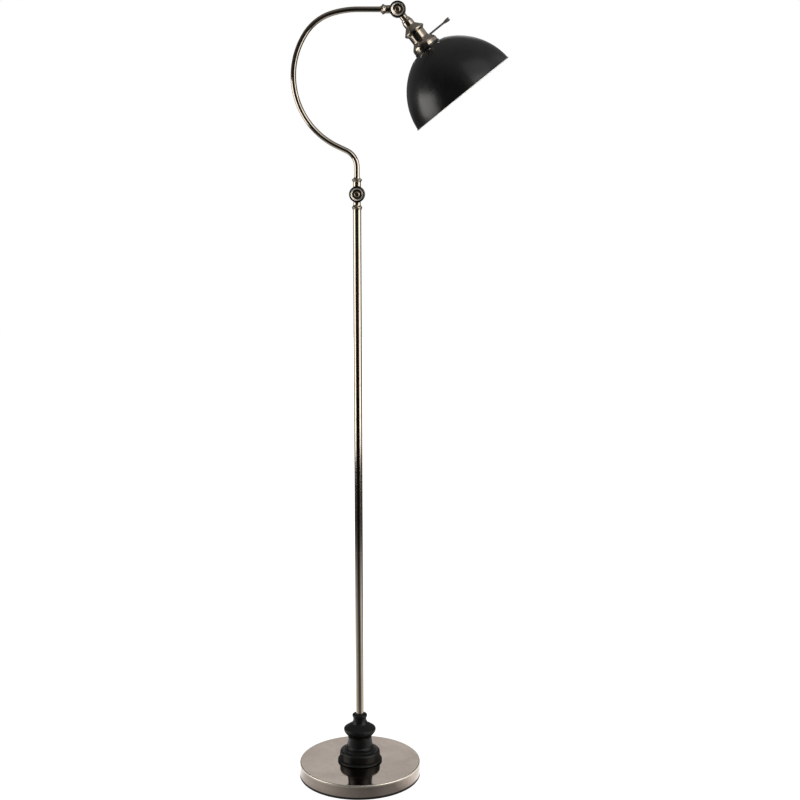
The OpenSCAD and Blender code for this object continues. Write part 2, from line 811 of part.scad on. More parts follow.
module lampholder() {
    cavity_r = shell_r + shell_t + fit;
    color(BLACK) in_head() difference() {
        turned([
            [0, body_top_s], [holder_neck_r, body_top_s, 1],
            [holder_neck_r, skirt_s], [skirt_d / 2, skirt_s, 1],
            [skirt_d / 2, flange_s], [holder_bore_r - 0.3, flange_s], [holder_bore_r - 0.3, shade_s],
            [skirt_d / 2, shade_s], [skirt_d / 2, mouth_s, 0.6], [0, mouth_s]
        ]);
        bore(cavity_r, shell_floor_s, mouth_s + PAST);
        bore(4.5, shell_floor_s - contact_seat, shell_floor_s + PAST);
        translate([0, 0, switch_s]) rotate([0, -90, 0]) bore(rod_d / 2 + running, rod_inner, holder_d);
        for (side = [-1, 1]) translate([0, side * 8, 0]) bore(1.5, body_top_s - PAST, body_top_s + 6);
    }
}

module terminal_screws() {
    color(BRIGHT_BRASS) in_head() for (side = [-1, 1]) translate([0, side * 8, 0]) {
        bore(3, body_top_s - 2, body_top_s);
        bore(1.45, body_top_s - 1, body_top_s + 5.5);
    }
}

module screw_shell() {
    r = shell_r + shell_t;
    color(BRIGHT_BRASS) in_head() difference() {
        bore(r, shell_floor_s, shell_mouth_s);
        bore(shell_r, shell_floor_s + shell_t, shell_mouth_s + PAST);
        bore(5.5, shell_floor_s - PAST, shell_floor_s + PAST);
    }
}

module centre_contact() {
    foot_s = shell_floor_s - contact_seat;
    tip_s = shell_floor_s + shell_t;
    color(BRIGHT_BRASS) in_head() turned([
        [0, foot_s], [4.4, foot_s], [4.4, foot_s + 1], [2.4, foot_s + 1.4], [2.4, tip_s, 1.2], [0, tip_s]
    ]);
}

module shade_ring() {
    top_s = shade_s + shade_t;
    r = collar_r - shade_t - 0.4;
    notch_count = 16;
    color(BLACK) in_head() difference() {
        sleeve(r, skirt_d / 2 + fit, top_s, top_s + ring_h);
        for (i = [0:notch_count - 1]) rotate(i * 360 / notch_count) translate([r + 0.6, 0, 0])
            bore(1.3, top_s + 1.2, top_s + ring_h + PAST);
    }
}

// What lies inside a curve of radius r between the flare and the rim
module dome_area(r) {
    intersection() {
        translate([-dome_offset, dome_s]) circle(r = r, $fn = 360);
        translate([max(0, -dome_offset), flare_s]) square([rim_d, dome_h]);
    }
}

module shade_section() {
    flare_r = crown_d / 2;
    step_s = shade_s + shade_collar_h;
    slope = unit([flare_r - collar_r, flare_s - step_s]);
    inward = shade_t * [-slope.y, slope.x];
    inner_r = collar_r - shade_t;
    inner_step = step_s + inward.y + (inner_r - collar_r - inward.x) * slope.y / slope.x;
    difference() {
        dome_area(dome_r);
        dome_area(dome_r - shade_t);
    }
    polygon([
        [shade_top_r, shade_s], [collar_r - 0.8, shade_s], [collar_r, shade_s + 0.8], [collar_r, step_s],
        [flare_r, flare_s], [flare_r, flare_s] + inward, [inner_r, inner_step], [inner_r, shade_s + shade_t],
        [shade_top_r, shade_s + shade_t]
    ]);
    translate([rim_d / 2 + 0.1, rim_s]) circle(d = hem_d);
}

module shade() {
    color(BLACK) in_head() difference() {
        rotate_extrude() shade_section();
        for (i = [0:vent_count - 1]) rotate(90 + i * 360 / vent_count) translate([vent_r, 0, vent_s])
            rotate([0, 180 - vent_lean, 0]) cylinder(d = vent_d, h = 6, center = true);
    }
}

// Wires: the stretches between the knuckles, which end short of each pivot

module stem_lead() {
    reach = base_r - bushing_l - lead_end_gap - lead_bend_r;
    rise = stem_pivot_z - knuckle_r - turn_gap - PAST - outlet_z - lead_bend_r;
    color(WIRE) rotate(90) from_pose([reach + lead_bend_r, outlet_z, 180])
        bent_tube([[reach, 0], [lead_bend_r, -90], [rise, 0]], stem_lead_d / 2, 0);
}

module arm_lead() {
    inset = arm_neck_l - knuckle_r - turn_gap - PAST;
    color(WIRE) from_pose(arm_start - [0, inset, 0])
        bent_tube(concat([[inset, 0]], ARM, [[inset, 0]]), arm_lead_d / 2, 0);
}

module head_lead() {
    color(WIRE) in_head() bore(arm_lead_d / 2, knuckle_r + turn_gap + PAST, body_top_s - 0.3);
}

// Switch: the rod turns about the head's -X

module switch_rod() {
    color(BLACK) in_head() translate([0, 0, switch_s]) rotate([0, -90, 0])
        bore(rod_d / 2, rod_inner + 0.4, switch_reach - 4);
}

module switch_knob() {
    r = knob_d / 2;
    color(BLACK) in_head() translate([0, 0, switch_s]) rotate([0, -90, 0]) difference() {
        turned([
            [0, knob_start], [rod_d / 2 + 0.6, knob_start], [r - 0.5, knob_start + 4.5, 2],
            [r, knob_start + 6.5], [r, switch_reach, 0.5], [0, switch_reach]
        ]);
        bore(rod_d / 2 + fit, knob_start - PAST, switch_reach - 4 + fit);
        translate([-0.6, -knob_d, switch_reach - 1.5]) cube([1.2, 2 * knob_d, 3]);
    }
}

base_pad();
base_weight();
base_cover();
cord_bushing();
base_washer();
base_nut();
lamp_pipe();
spindle_foot();
spindle_vase();
spindle_collar();
stem_plug();
stem_section(stem_bottom, joint_lower_z);  // stem_lower
stem_coupler(joint_lower_z);  // stem_coupler_lower
stem_section(joint_lower_z, joint_upper_z);  // stem_middle
stem_coupler(joint_upper_z);  // stem_coupler_upper
stem_section(joint_upper_z, stem_top);  // stem_upper
stem_collar();
stem_knuckle_front();
front_of(stem_pivot, 90) friction_disc();  // stem_friction_disc
front_of(stem_pivot, 90) pivot_screw();  // stem_pivot_screw
front_of(stem_pivot, 90) spring_washer();  // stem_spring_washer
front_of(stem_pivot, 90) pivot_nut();  // stem_pivot_nut
stem_lead();
stem_knuckle_rear();
arm_collar_lower();
arm_tube();
arm_collar_upper();
head_knuckle_rear();
arm_lead();
head_knuckle_front();
front_of(head_pivot, 0) friction_disc();  // head_friction_disc
front_of(head_pivot, 0) pivot_screw();  // head_pivot_screw
front_of(head_pivot, 0) spring_washer();  // head_spring_washer
front_of(head_pivot, 0) pivot_nut();  // head_pivot_nut
socket_cap();
socket_cup();
cup_nut();
shade_holder();
lampholder();
terminal_screws();
screw_shell();
centre_contact();
shade_ring();
shade();
head_lead();
switch_rod();
switch_knob();
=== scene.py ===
"""A bridge floor lamp in antique brass and black, in front of a pale studio.

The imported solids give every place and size. This script dresses them: each finish is a material made of
nodes, and the pieces whose small forms count most, such as the bent arm and the lampholder's threads, are
modelled here and stand for their solids.
"""

import json
import logging
import math
from dataclasses import dataclass, field
from enum import Enum
from typing import Any, Callable, Sequence

import bpy
from mathutils import Matrix, Vector
from mathutils.kdtree import KDTree


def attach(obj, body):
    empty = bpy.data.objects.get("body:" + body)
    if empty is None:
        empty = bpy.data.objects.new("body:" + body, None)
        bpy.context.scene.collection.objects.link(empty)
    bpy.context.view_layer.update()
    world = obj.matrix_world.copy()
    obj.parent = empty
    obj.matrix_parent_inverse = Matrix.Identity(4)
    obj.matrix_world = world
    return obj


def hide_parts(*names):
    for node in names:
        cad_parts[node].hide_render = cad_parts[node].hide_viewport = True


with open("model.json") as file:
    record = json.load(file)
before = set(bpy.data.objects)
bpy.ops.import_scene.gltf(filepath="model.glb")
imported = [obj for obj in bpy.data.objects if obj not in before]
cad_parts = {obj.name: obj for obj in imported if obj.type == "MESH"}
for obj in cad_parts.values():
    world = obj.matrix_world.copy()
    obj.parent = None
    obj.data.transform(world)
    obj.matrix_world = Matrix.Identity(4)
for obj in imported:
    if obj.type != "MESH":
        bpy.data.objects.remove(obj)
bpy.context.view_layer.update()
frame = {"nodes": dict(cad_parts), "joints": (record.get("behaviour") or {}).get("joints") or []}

LOG = logging.getLogger("floor_lamp")
MM = 0.001
EVERYWHERE = 1e4
CORNER_STEP = math.radians(12.0)
MODELLED_SMOOTH = math.radians(32.0)
REFINED_SMOOTH = math.radians(34.0)

Piece = bpy.types.Object
Socket = bpy.types.NodeSocket
Point = tuple[float, float]
Corner = tuple[float, ...]
Colour = tuple[float, float, float]
Place = tuple[float, float, float]


class Body(Enum):
    """The rigid bodies of the lamp."""

    BASE = "base"
    ARM = "arm"
    HEAD = "head"
    SWITCH = "switch"


class Grain(Enum):
    """How the marks of the tool run on a metal piece."""

    TURNED = "turned"
    DRAWN = "drawn"
    FOLLOWS_TUBE = "follows tube"


@dataclass(frozen=True)
class LocalFrame:
    """A piece's own axes: where its origin lies in the row frame, in metres, and how it is turned."""

    origin: Place = (0.0, 0.0, 0.0)
    turn: Place = (0.0, 0.0, 0.0)

    def matrix(self) -> Matrix:
        """The move from the piece's own axes to the row frame."""
        x, y, z = (Matrix.Rotation(angle, 4, axis) for angle, axis in zip(self.turn, "XYZ"))
        return Matrix.Translation(self.origin) @ z @ y @ x


def joint_pivot(name: str) -> Place:
    """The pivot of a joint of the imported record.

    Args:
        name: the joint's name.

    Returns:
        Its place in the row frame, in metres.
    """
    return tuple(next(joint["pos_m"] for joint in frame["joints"] if joint["name"] == name))


HEAD_DROP = math.radians(51.6)
UPRIGHT = LocalFrame()
HEAD = LocalFrame(joint_pivot("head_tilt"), (0.0, math.pi / 2 + HEAD_DROP, 0.0))
LOWER_KNUCKLE = LocalFrame(joint_pivot("stem_tilt"), (math.pi / 2, 0.0, 0.0))
UPPER_KNUCKLE = LocalFrame(joint_pivot("head_tilt"), (math.pi / 2, 0.0, 0.0))


# Wiring of materials


class Wiring:
    """A node tree, with short ways to add its nodes and join them."""

    def __init__(self, tree: bpy.types.NodeTree) -> None:
        """Starts on a tree, which may hold nodes already."""
        self.tree = tree

    def add(self, kind: str, **settings: Any) -> bpy.types.Node:
        """Adds a node and sets its properties."""
        node = self.tree.nodes.new(kind)
        for name, value in settings.items():
            setattr(node, name, value)
        return node

    def feed(self, socket: Socket, value: Any) -> None:
        """Joins another socket to this one, or sets this one's plain value."""
        if isinstance(value, Socket):
            self.tree.links.new(value, socket)
        else:
            socket.default_value = value

    def math(self, operation: str, *values: Any) -> Socket:
        """A Math node on one, two or three values."""
        node = self.add("ShaderNodeMath", operation=operation)
        for socket, value in zip(node.inputs, values):
            self.feed(socket, value)
        return node.outputs[0]

    def plus(self, *values: Any) -> Socket:
        """A sum."""
        return self.fold("ADD", values)

    def times(self, *values: Any) -> Socket:
        """A product."""
        return self.fold("MULTIPLY", values)

    def most(self, *values: Any) -> Socket:
        """The greatest of some values."""
        return self.fold("MAXIMUM", values)

    def fold(self, operation: str, values: Sequence[Any]) -> Any:
        """Joins values by one operation, from the first to the last."""
        total = values[0]
        for value in values[1:]:
            total = self.math(operation, total, value)
        return total

    def radius(self, x: Any, y: Any) -> Socket:
        """The distance from an axis of a point with these two coordinates."""
        return self.math("SQRT", self.plus(self.times(x, x), self.times(y, y)))

    def paint(self, shader: Any, colour: Any, rough: Any, normal: Any, metallic: Any = 0.0) -> None:
        """Feeds the sockets that every finish feeds."""
        looks = {"Base Color": colour, "Roughness": rough, "Normal": normal, "Metallic": metallic}
        for name, value in looks.items():
            self.feed(shader[name], value)

    def noise(self, vector: Any, scale: float, detail: float = 3.0, roughness: float = 0.5,
              distortion: float = 0.0) -> Socket:
        """A Noise Texture's factor, about 0.5 on average."""
        node = self.add("ShaderNodeTexNoise")
        for name, value in (("Vector", vector), ("Scale", scale), ("Detail", detail),
                            ("Roughness", roughness), ("Distortion", distortion)):
            self.feed(node.inputs[name], value)
        return node.outputs["Fac"]

    def cells(self, vector: Any, scale: float) -> Any:
        """A Voronoi Texture's outputs."""
        node = self.add("ShaderNodeTexVoronoi")
        self.feed(node.inputs["Vector"], vector)
        self.feed(node.inputs["Scale"], scale)
        return node.outputs

    def remap(self, value: Any, low: float, high: float, to_low: Any = 0.0, to_high: Any = 1.0) -> Socket:
        """A value's range low to high, stretched to another range and clamped to it."""
        node = self.add("ShaderNodeMapRange")
        for name, given in (("Value", value), ("From Min", low), ("From Max", high),
                            ("To Min", to_low), ("To Max", to_high)):
            self.feed(node.inputs[name], given)
        return node.outputs[0]

    def blend(self, factor: Any, first: Any, second: Any) -> Socket:
        """A mix of two colours."""
        node = self.add("ShaderNodeMix", data_type="RGBA")
        for index, value in ((0, factor), (6, first), (7, second)):
            if isinstance(value, tuple) and len(value) == 3:
                value = (*value, 1.0)
            self.feed(node.inputs[index], value)
        return node.outputs[2]

    def split(self, vector: Any) -> Sequence[Socket]:
        """A vector's three numbers."""
        node = self.add("ShaderNodeSeparateXYZ")
        self.feed(node.inputs[0], vector)
        return node.outputs

    def join(self, x: Any, y: Any, z: Any) -> Socket:
        """A vector of three numbers."""
        node = self.add("ShaderNodeCombineXYZ")
        for socket, value in zip(node.inputs, (x, y, z)):
            self.feed(socket, value)
        return node.outputs[0]

    def own_axes(self, place: LocalFrame) -> Socket:
        """Object coordinates, moved to a piece's own axes."""
        coordinates = self.add("ShaderNodeTexCoord")
        mapping = self.add("ShaderNodeMapping", vector_type="TEXTURE")
        self.feed(mapping.inputs["Vector"], coordinates.outputs["Object"])
        self.feed(mapping.inputs["Location"], place.origin)
        self.feed(mapping.inputs["Rotation"], place.turn)
        return mapping.outputs[0]

    def effect(self, group: bpy.types.NodeTree, **values: Any) -> bpy.types.Node:
        """Places an effect's node group and feeds its inputs by name."""
        node = self.add("ShaderNodeGroup", node_tree=group)
        for name, value in values.items():
            if isinstance(value, tuple) and len(value) == 3:
                value = (*value, 1.0)
            self.feed(node.inputs[name.replace("_", " ")], value)
        return node

    def bump(self, height: Any, strength: float, depth: float) -> Socket:
        """A Bump node's normal."""
        node = self.add("ShaderNodeBump")
        node.inputs["Strength"].default_value = strength
        node.inputs["Distance"].default_value = depth
        self.feed(node.inputs["Height"], height)
        return node.outputs[0]


def new_effect(name: str, takes: Sequence[tuple[str, str, Any]], gives: Sequence[tuple[str, str]]
               ) -> tuple[bpy.types.NodeTree, Wiring, Any, Any]:
    """Starts a shader node group.

    Args:
        name: the group's name.
        takes: its inputs, each a name, a kind of socket and a default.
        gives: its outputs, each a name and a kind of socket.

    Returns:
        The group, its wiring, the outputs of its input node and the inputs of its output node.
    """
    group = bpy.data.node_groups.new(name, "ShaderNodeTree")
    for label, kind, default in takes:
        socket = group.interface.new_socket(label, in_out="INPUT", socket_type=f"NodeSocket{kind}")
        if kind != "Vector":
            socket.default_value = (*default, 1.0) if kind == "Color" else default
    for label, kind in gives:
        group.interface.new_socket(label, in_out="OUTPUT", socket_type=f"NodeSocket{kind}")
    wiring = Wiring(group)
    return group, wiring, wiring.add("NodeGroupInput").outputs, wiring.add("NodeGroupOutput").inputs


class Effects:
    """The effects that several finishes use, each a node group built once."""

    def __init__(self) -> None:
        """Builds the groups."""
        self.turned_marks = self._turned_marks()
        self.drawn_marks = self._drawn_marks()
        self.patina = self._patina()
        self.scratches = self._scratches()
        self.dust = self._dust()
        self.orange_peel = self._orange_peel()

    @staticmethod
    def _turned_marks() -> bpy.types.NodeTree:
        """Fine rings round the local Z, as a lathe leaves them."""
        group, w, taken, given = new_effect(
            "turned_marks", [("Vector", "Vector", None), ("Lines per Metre", "Float", 2500.0)],
            [("Height", "Float"), ("Tone", "Float")])
        x, y, z = w.split(taken["Vector"])
        radius = w.radius(x, y)
        angle = w.math("ARCTAN2", y, x)
        across = w.times(radius, taken["Lines per Metre"])
        along = w.times(z, taken["Lines per Metre"])
        w.feed(given["Height"], w.noise(w.join(across, along, w.times(angle, 0.9)), 1.0, 3.0, 0.6))
        broad = w.join(w.times(across, 0.06), w.times(along, 0.06), angle)
        w.feed(given["Tone"], w.remap(w.noise(broad, 1.0, 2.0), 0.3, 0.7))
        return group

    @staticmethod
    def _drawn_marks() -> bpy.types.NodeTree:
        """Fine lines along the local Z, as a drawn and polished tube has them."""
        group, w, taken, given = new_effect(
            "drawn_marks", [("Vector", "Vector", None), ("Lines per Metre", "Float", 3000.0)],
            [("Height", "Float"), ("Tone", "Float")])
        x, y, z = w.split(taken["Vector"])
        lines = taken["Lines per Metre"]
        stretched = w.join(w.times(x, lines), w.times(y, lines),
                           w.times(w.times(z, lines), 0.008))
        w.feed(given["Height"], w.noise(stretched, 1.0, 3.0, 0.55))
        w.feed(given["Tone"], w.remap(w.noise(stretched, 0.09, 2.0), 0.3, 0.7))
        return group

    @staticmethod
    def _patina() -> bpy.types.NodeTree:
        """Cloudy darkening of antiqued metal, with finer mottling in it."""
        group, w, taken, given = new_effect(
            "patina",
            [("Vector", "Vector", None), ("Clouds per Metre", "Float", 22.0), ("Amount", "Float", 0.6),
             ("Bright", "Color", (0.43, 0.37, 0.30)), ("Dull", "Color", (0.30, 0.24, 0.17))],
            [("Color", "Color"), ("Mask", "Float")])
        clouds = w.noise(taken["Vector"], taken["Clouds per Metre"], 5.0, 0.58, 0.7)
        mottle = w.noise(taken["Vector"], w.times(taken["Clouds per Metre"], 9.0), 4.0, 0.62)
        mixed = w.plus(w.remap(clouds, 0.36, 0.68, 0.0, 0.75), w.remap(mottle, 0.42, 0.72, 0.0, 0.25))
        mask = w.times(mixed, taken["Amount"])
        w.feed(given["Color"], w.blend(mask, taken["Bright"], taken["Dull"]))
        w.feed(given["Mask"], mask)
        return group

    @staticmethod
    def _scratches() -> bpy.types.NodeTree:
        """Sparse hair scratches of polishing and handling, in two crossing directions."""
        group, w, taken, given = new_effect(
            "hair_scratches", [("Vector", "Vector", None), ("Fineness", "Float", 900.0)], [("Mask", "Float")])
        masks = []
        for turn, seed in ((0.5, 0.0), (-0.9, 7.3)):
            mapping = w.add("ShaderNodeMapping")
            w.feed(mapping.inputs["Vector"], taken["Vector"])
            w.feed(mapping.inputs["Location"], (seed, seed, seed))
            w.feed(mapping.inputs["Rotation"], (0.3, turn, turn))
            w.feed(mapping.inputs["Scale"], (1.0, 0.035, 0.035))
            masks.append(w.remap(w.noise(mapping.outputs[0], taken["Fineness"], 2.0, 0.4), 0.66, 0.74))
        w.feed(given["Mask"], w.most(*masks))
        return group

    @staticmethod
    def _dust() -> bpy.types.NodeTree:
        """Thin dust where a surface looks up at rest, thicker in patches."""
        group, w, taken, given = new_effect(
            "settled_dust", [("Vector", "Vector", None), ("Amount", "Float", 0.2)], [("Mask", "Float")])
        up = w.split(w.add("ShaderNodeTexCoord").outputs["Normal"])[2]
        facing = w.math("POWER", w.most(up, 0.0), 3.0)
        patches = w.remap(w.noise(taken["Vector"], 60.0, 6.0, 0.6), 0.35, 0.8, 0.35, 1.0)
        w.feed(given["Mask"], w.times(w.times(facing, patches), taken["Amount"]))
        return group

    @staticmethod
    def _orange_peel() -> bpy.types.NodeTree:
        """The faint unevenness of sprayed paint, with a few fine grains in it."""
        group, w, taken, given = new_effect(
            "orange_peel", [("Vector", "Vector", None), ("Waves per Metre", "Float", 420.0)],
            [("Height", "Float"), ("Grains", "Float")])
        w.feed(given["Height"], w.noise(taken["Vector"], taken["Waves per Metre"], 2.0, 0.45))
        grains = w.noise(taken["Vector"], w.times(taken["Waves per Metre"], 4.0), 1.0, 0.3)
        w.feed(given["Grains"], w.remap(grains, 0.68, 0.76))
        return group


# Finishes


@dataclass(frozen=True)
class Finish:
    """What every finish has: its material's name and the axes its pattern follows."""

    name: str
    place: LocalFrame = UPRIGHT

    def material(self, effects: Effects) -> bpy.types.Material:
        """Builds the material.

        Args:
            effects: the shared node groups.

        Returns:
            The new material.
        """
        made = bpy.data.materials.new(self.name)
        made.use_nodes = True
        wiring = Wiring(made.node_tree)
        shader = next(node for node in made.node_tree.nodes if node.type == "BSDF_PRINCIPLED")
        self.wire(wiring, shader.inputs, wiring.own_axes(self.place), effects)
        return made

    def wire(self, w: Wiring, shader: Any, where: Socket, effects: Effects) -> None:
        """Feeds the shader's sockets; each finish has its own."""
        raise NotImplementedError


@dataclass(frozen=True)
class PaintedLightRing:
    """A ring round a finish's own Z in another colour, painted as a highlight when light and as shade when dark.
    """

    inner: float
    outer: float
    tone: Colour
    rougher: float
    above: float = -1.0
    soft: float = 1.2 * MM


@dataclass(frozen=True)
class AntiqueBrass(Finish):
    """Brushed brass, darkened and lacquered: warm grey with brown in its clouds."""

    grain: Grain = Grain.TURNED
    bright: Colour = (0.425, 0.379, 0.318)
    dull: Colour = (0.350, 0.288, 0.218)
    clouds: float = 22.0
    cloud_amount: float = 0.8
    roughness: float = 0.11
    roughness_spread: float = 0.05
    lines: float = 2600.0
    grain_depth: float = 0.003 * MM
    tube_radius: float = 5.25 * MM
    dust: Colour = (0.52, 0.49, 0.44)
    painted_rings: tuple[PaintedLightRing, ...] = ()

    def wire(self, w: Wiring, shader: Any, where: Socket, effects: Effects) -> None:
        """Patina over fine tool marks, with hair scratches that catch the light, and the finish's rings of
        painted highlight and painted shade.
        """
        if self.grain is Grain.FOLLOWS_TUBE:
            uv = w.add("ShaderNodeUVMap", uv_map="run").outputs[0]
            round_tube, along, _ = w.split(uv)
            turn = w.times(round_tube, math.tau)
            marks_at = w.join(w.times(w.math("COSINE", turn), self.tube_radius),
                              w.times(w.math("SINE", turn), self.tube_radius), along)
        else:
            marks_at = where
        group = effects.turned_marks if self.grain is Grain.TURNED else effects.drawn_marks
        marks = w.effect(group, Vector=marks_at, Lines_per_Metre=self.lines).outputs
        patina = w.effect(effects.patina, Vector=where, Clouds_per_Metre=self.clouds,
                          Amount=self.cloud_amount,
                          Bright=self.bright, Dull=self.dull).outputs
        hair = w.effect(effects.scratches, Vector=where, Fineness=900.0).outputs["Mask"]
        toned = w.blend(w.remap(marks["Tone"], 0.0, 1.0, 0.0, 0.22), patina["Color"], self.dull)
        x, y, z = w.split(where)
        radius = w.radius(x, y)
        patchy = w.remap(w.noise(where, 40.0, 4.0), 0.3, 0.6, 0.8, 1.0)
        rough = w.remap(patina["Mask"], 0.0, 1.0, self.roughness, self.roughness + self.roughness_spread)
        # Painted highlight and painted shade: each ring's colour is blended in where light falls bright or dark
        # on it, broken up a little by noise.
        for light_ring in self.painted_rings:
            painted_ring_mask = w.times(w.remap(radius, light_ring.inner, light_ring.inner + light_ring.soft),
                           w.remap(radius, light_ring.outer, light_ring.outer + light_ring.soft, 1.0, 0.0),
                           w.remap(z, light_ring.above, light_ring.above + light_ring.soft), patchy)
            toned = w.blend(painted_ring_mask, toned, light_ring.tone)
            rough = w.plus(rough, w.times(painted_ring_mask, light_ring.rougher))
        dust = w.effect(effects.dust, Vector=where, Amount=0.035).outputs["Mask"]
        w.paint(shader, w.blend(dust, toned, self.dust),
                w.plus(rough, w.times(hair, 0.05), w.times(dust, 0.5)),
                w.bump(marks["Height"], 0.10, self.grain_depth), 1.0)


@dataclass(frozen=True)
class BrightBrass(Finish):
    """Pressed or turned brass under clear lacquer, a little tarnished."""

    bright: Colour = (0.78, 0.58, 0.27)
    dull: Colour = (0.50, 0.33, 0.13)
    roughness: float = 0.2

    def wire(self, w: Wiring, shader: Any, where: Socket, effects: Effects) -> None:
        """Tarnish in clouds over the press's marks."""
        patina = w.effect(effects.patina, Vector=where, Clouds_per_Metre=90.0, Amount=0.6,
                          Bright=self.bright, Dull=self.dull).outputs
        marks = w.effect(effects.turned_marks, Vector=where, Lines_per_Metre=3200.0).outputs
        w.paint(shader, patina["Color"],
                w.remap(patina["Mask"], 0.0, 0.7, self.roughness, self.roughness + 0.2),
                w.bump(marks["Height"], 0.25, 0.010 * MM), 1.0)


@dataclass(frozen=True)
class BlackPaint(Finish):
    """Black stove paint on turned metal."""

    colour: Colour = (0.0034, 0.0033, 0.0032)
    rubbed: Colour = (0.010, 0.0095, 0.009)
    roughness: float = 0.34
    specular: float = 0.20
    waves: float = 380.0
    peel_depth: float = 0.02 * MM
    dust: float = 0.02

    def wire(self, w: Wiring, shader: Any, where: Socket, effects: Effects) -> None:
        """Orange peel, rubbed patches and a film of dust."""
        w.paint(shader, *self.surface(w, where, effects))
        shader["Specular IOR Level"].default_value = self.specular

    def surface(self, w: Wiring, where: Socket, effects: Effects
                ) -> tuple[Socket, Socket, Socket]:
        """The paint's colour, roughness and normal."""
        peel = w.effect(effects.orange_peel, Vector=where, Waves_per_Metre=self.waves).outputs
        patches = w.remap(w.noise(where, 35.0, 5.0, 0.6, 0.4), 0.45, 0.75)
        hair = w.effect(effects.scratches, Vector=where, Fineness=700.0).outputs["Mask"]
        dust = w.effect(effects.dust, Vector=where, Amount=self.dust).outputs["Mask"]
        rubbed = w.most(w.times(patches, 0.25), w.times(hair, 0.18))
        painted = w.blend(rubbed, self.colour, self.rubbed)
        painted = w.blend(w.times(peel["Grains"], 0.2), painted, self.rubbed)
        colour = w.blend(dust, painted, (0.20, 0.19, 0.17))
        rough = w.remap(patches, 0.0, 1.0, self.roughness, self.roughness + 0.07)
        rough = w.plus(rough, w.times(dust, 0.8))
        return colour, rough, w.bump(peel["Height"], 0.5, self.peel_depth)


@dataclass(frozen=True)
class ShadePaint(BlackPaint):
    """The shade's paint: matt black outside, white inside, told apart by the sheet's own curve."""

    roughness: float = 0.27
    specular: float = 0.48
    waves: float = 520.0
    peel_depth: float = 0.008 * MM
    dust: float = 0.01
    white: Colour = (0.80, 0.79, 0.76)
    curve_radius: float = 126.16 * MM
    curve_middle: float = 209.30 * MM
    curve_offset: float = 16.66 * MM
    outer_coat: float = 0.3 * MM
    collar_coat: float = 0.6 * MM
    rim: float = 200.5 * MM
    collar_radius: float = 27.4 * MM
    collar_end: float = 95.4 * MM
    holder_end: float = 89.3 * MM

    def wire(self, w: Wiring, shader: Any, where: Socket, effects: Effects) -> None:
        """Mixes the two paints just under the sheet's outer face, so that the vents' walls are white too."""
        colour, rough, normal = self.surface(w, where, effects)
        x, y, s = w.split(where)
        radius = w.radius(x, y)
        up = w.math("SUBTRACT", s, self.curve_middle)
        out = w.plus(radius, self.curve_offset)
        reach = w.radius(up, out)
        within = w.math("LESS_THAN", reach, self.curve_radius - self.outer_coat)
        past_collar = w.math("GREATER_THAN", s, self.collar_end)
        in_collar = w.times(w.math("LESS_THAN", radius, self.collar_radius - self.collar_coat),
                           w.math("GREATER_THAN", s, self.holder_end + 0.5 * MM))
        lip = w.math("GREATER_THAN", s, self.rim + 0.35 * MM)
        white = w.most(w.times(within, past_collar), in_collar, lip)
        warm = w.remap(w.noise(where, 28.0, 4.0, 0.55), 0.4, 0.75, 0.0, 0.35)
        enamel = w.blend(warm, self.white, (0.72, 0.69, 0.62))
        w.paint(shader, w.blend(white, colour, enamel), w.plus(w.times(white, -0.08), rough), normal)
        shader["Specular IOR Level"].default_value = self.specular


@dataclass(frozen=True)
class Moulding(Finish):
    """Pressed phenolic resin or moulded plastic: dark, glossy, with a faint swirl of filler."""

    colour: Colour = (0.012, 0.011, 0.010)
    filler: Colour = (0.035, 0.030, 0.026)
    roughness: float = 0.24

    def wire(self, w: Wiring, shader: Any, where: Socket, effects: Effects) -> None:
        """Swirled filler, with a gloss that the mould's wear breaks up."""
        swirl = w.remap(w.noise(where, 110.0, 5.0, 0.6, 2.2), 0.48, 0.8)
        hair = w.effect(effects.scratches, Vector=where, Fineness=1100.0).outputs["Mask"]
        peel = w.effect(effects.orange_peel, Vector=where, Waves_per_Metre=900.0).outputs
        rough = w.remap(swirl, 0.0, 1.0, self.roughness, self.roughness + 0.12)
        w.paint(shader, w.blend(swirl, self.colour, self.filler), w.plus(rough, w.times(hair, 0.12)),
                w.bump(peel["Height"], 0.3, 0.012 * MM))


@dataclass(frozen=True)
class ZincSteel(Finish):
    """Zinc plated steel: cool grey with faint spangles and rubbed spots."""

    def wire(self, w: Wiring, shader: Any, where: Socket, effects: Effects) -> None:
        """Spangles in the tone and in the gloss."""
        spangle = w.split(w.cells(where, 420.0)["Color"])[0]
        cloud = w.remap(w.noise(where, 70.0, 4.0), 0.35, 0.7)
        tone = w.plus(w.times(spangle, 0.35), w.times(cloud, 0.5))
        w.paint(shader, w.blend(tone, (0.62, 0.63, 0.64), (0.44, 0.45, 0.45)),
                w.remap(tone, 0.0, 0.9, 0.24, 0.42),
                w.bump(w.noise(where, 1800.0, 2.0), 0.3, 0.01 * MM), 1.0)


@dataclass(frozen=True)
class CastIron(Finish):
    """Raw sand casting, dark grey with brown bloom."""

    def wire(self, w: Wiring, shader: Any, where: Socket, effects: Effects) -> None:
        """Sand marks in the relief and rust in the low spots."""
        sand = w.noise(where, 700.0, 6.0, 0.7)
        bloom = w.remap(w.noise(where, 30.0, 6.0, 0.65), 0.5, 0.72)
        w.paint(shader, w.blend(bloom, (0.085, 0.085, 0.088), (0.11, 0.055, 0.03)),
                w.remap(sand, 0.3, 0.7, 0.55, 0.85), w.bump(sand, 0.6, 0.25 * MM),
                w.remap(bloom, 0.0, 1.0, 0.75, 0.1))


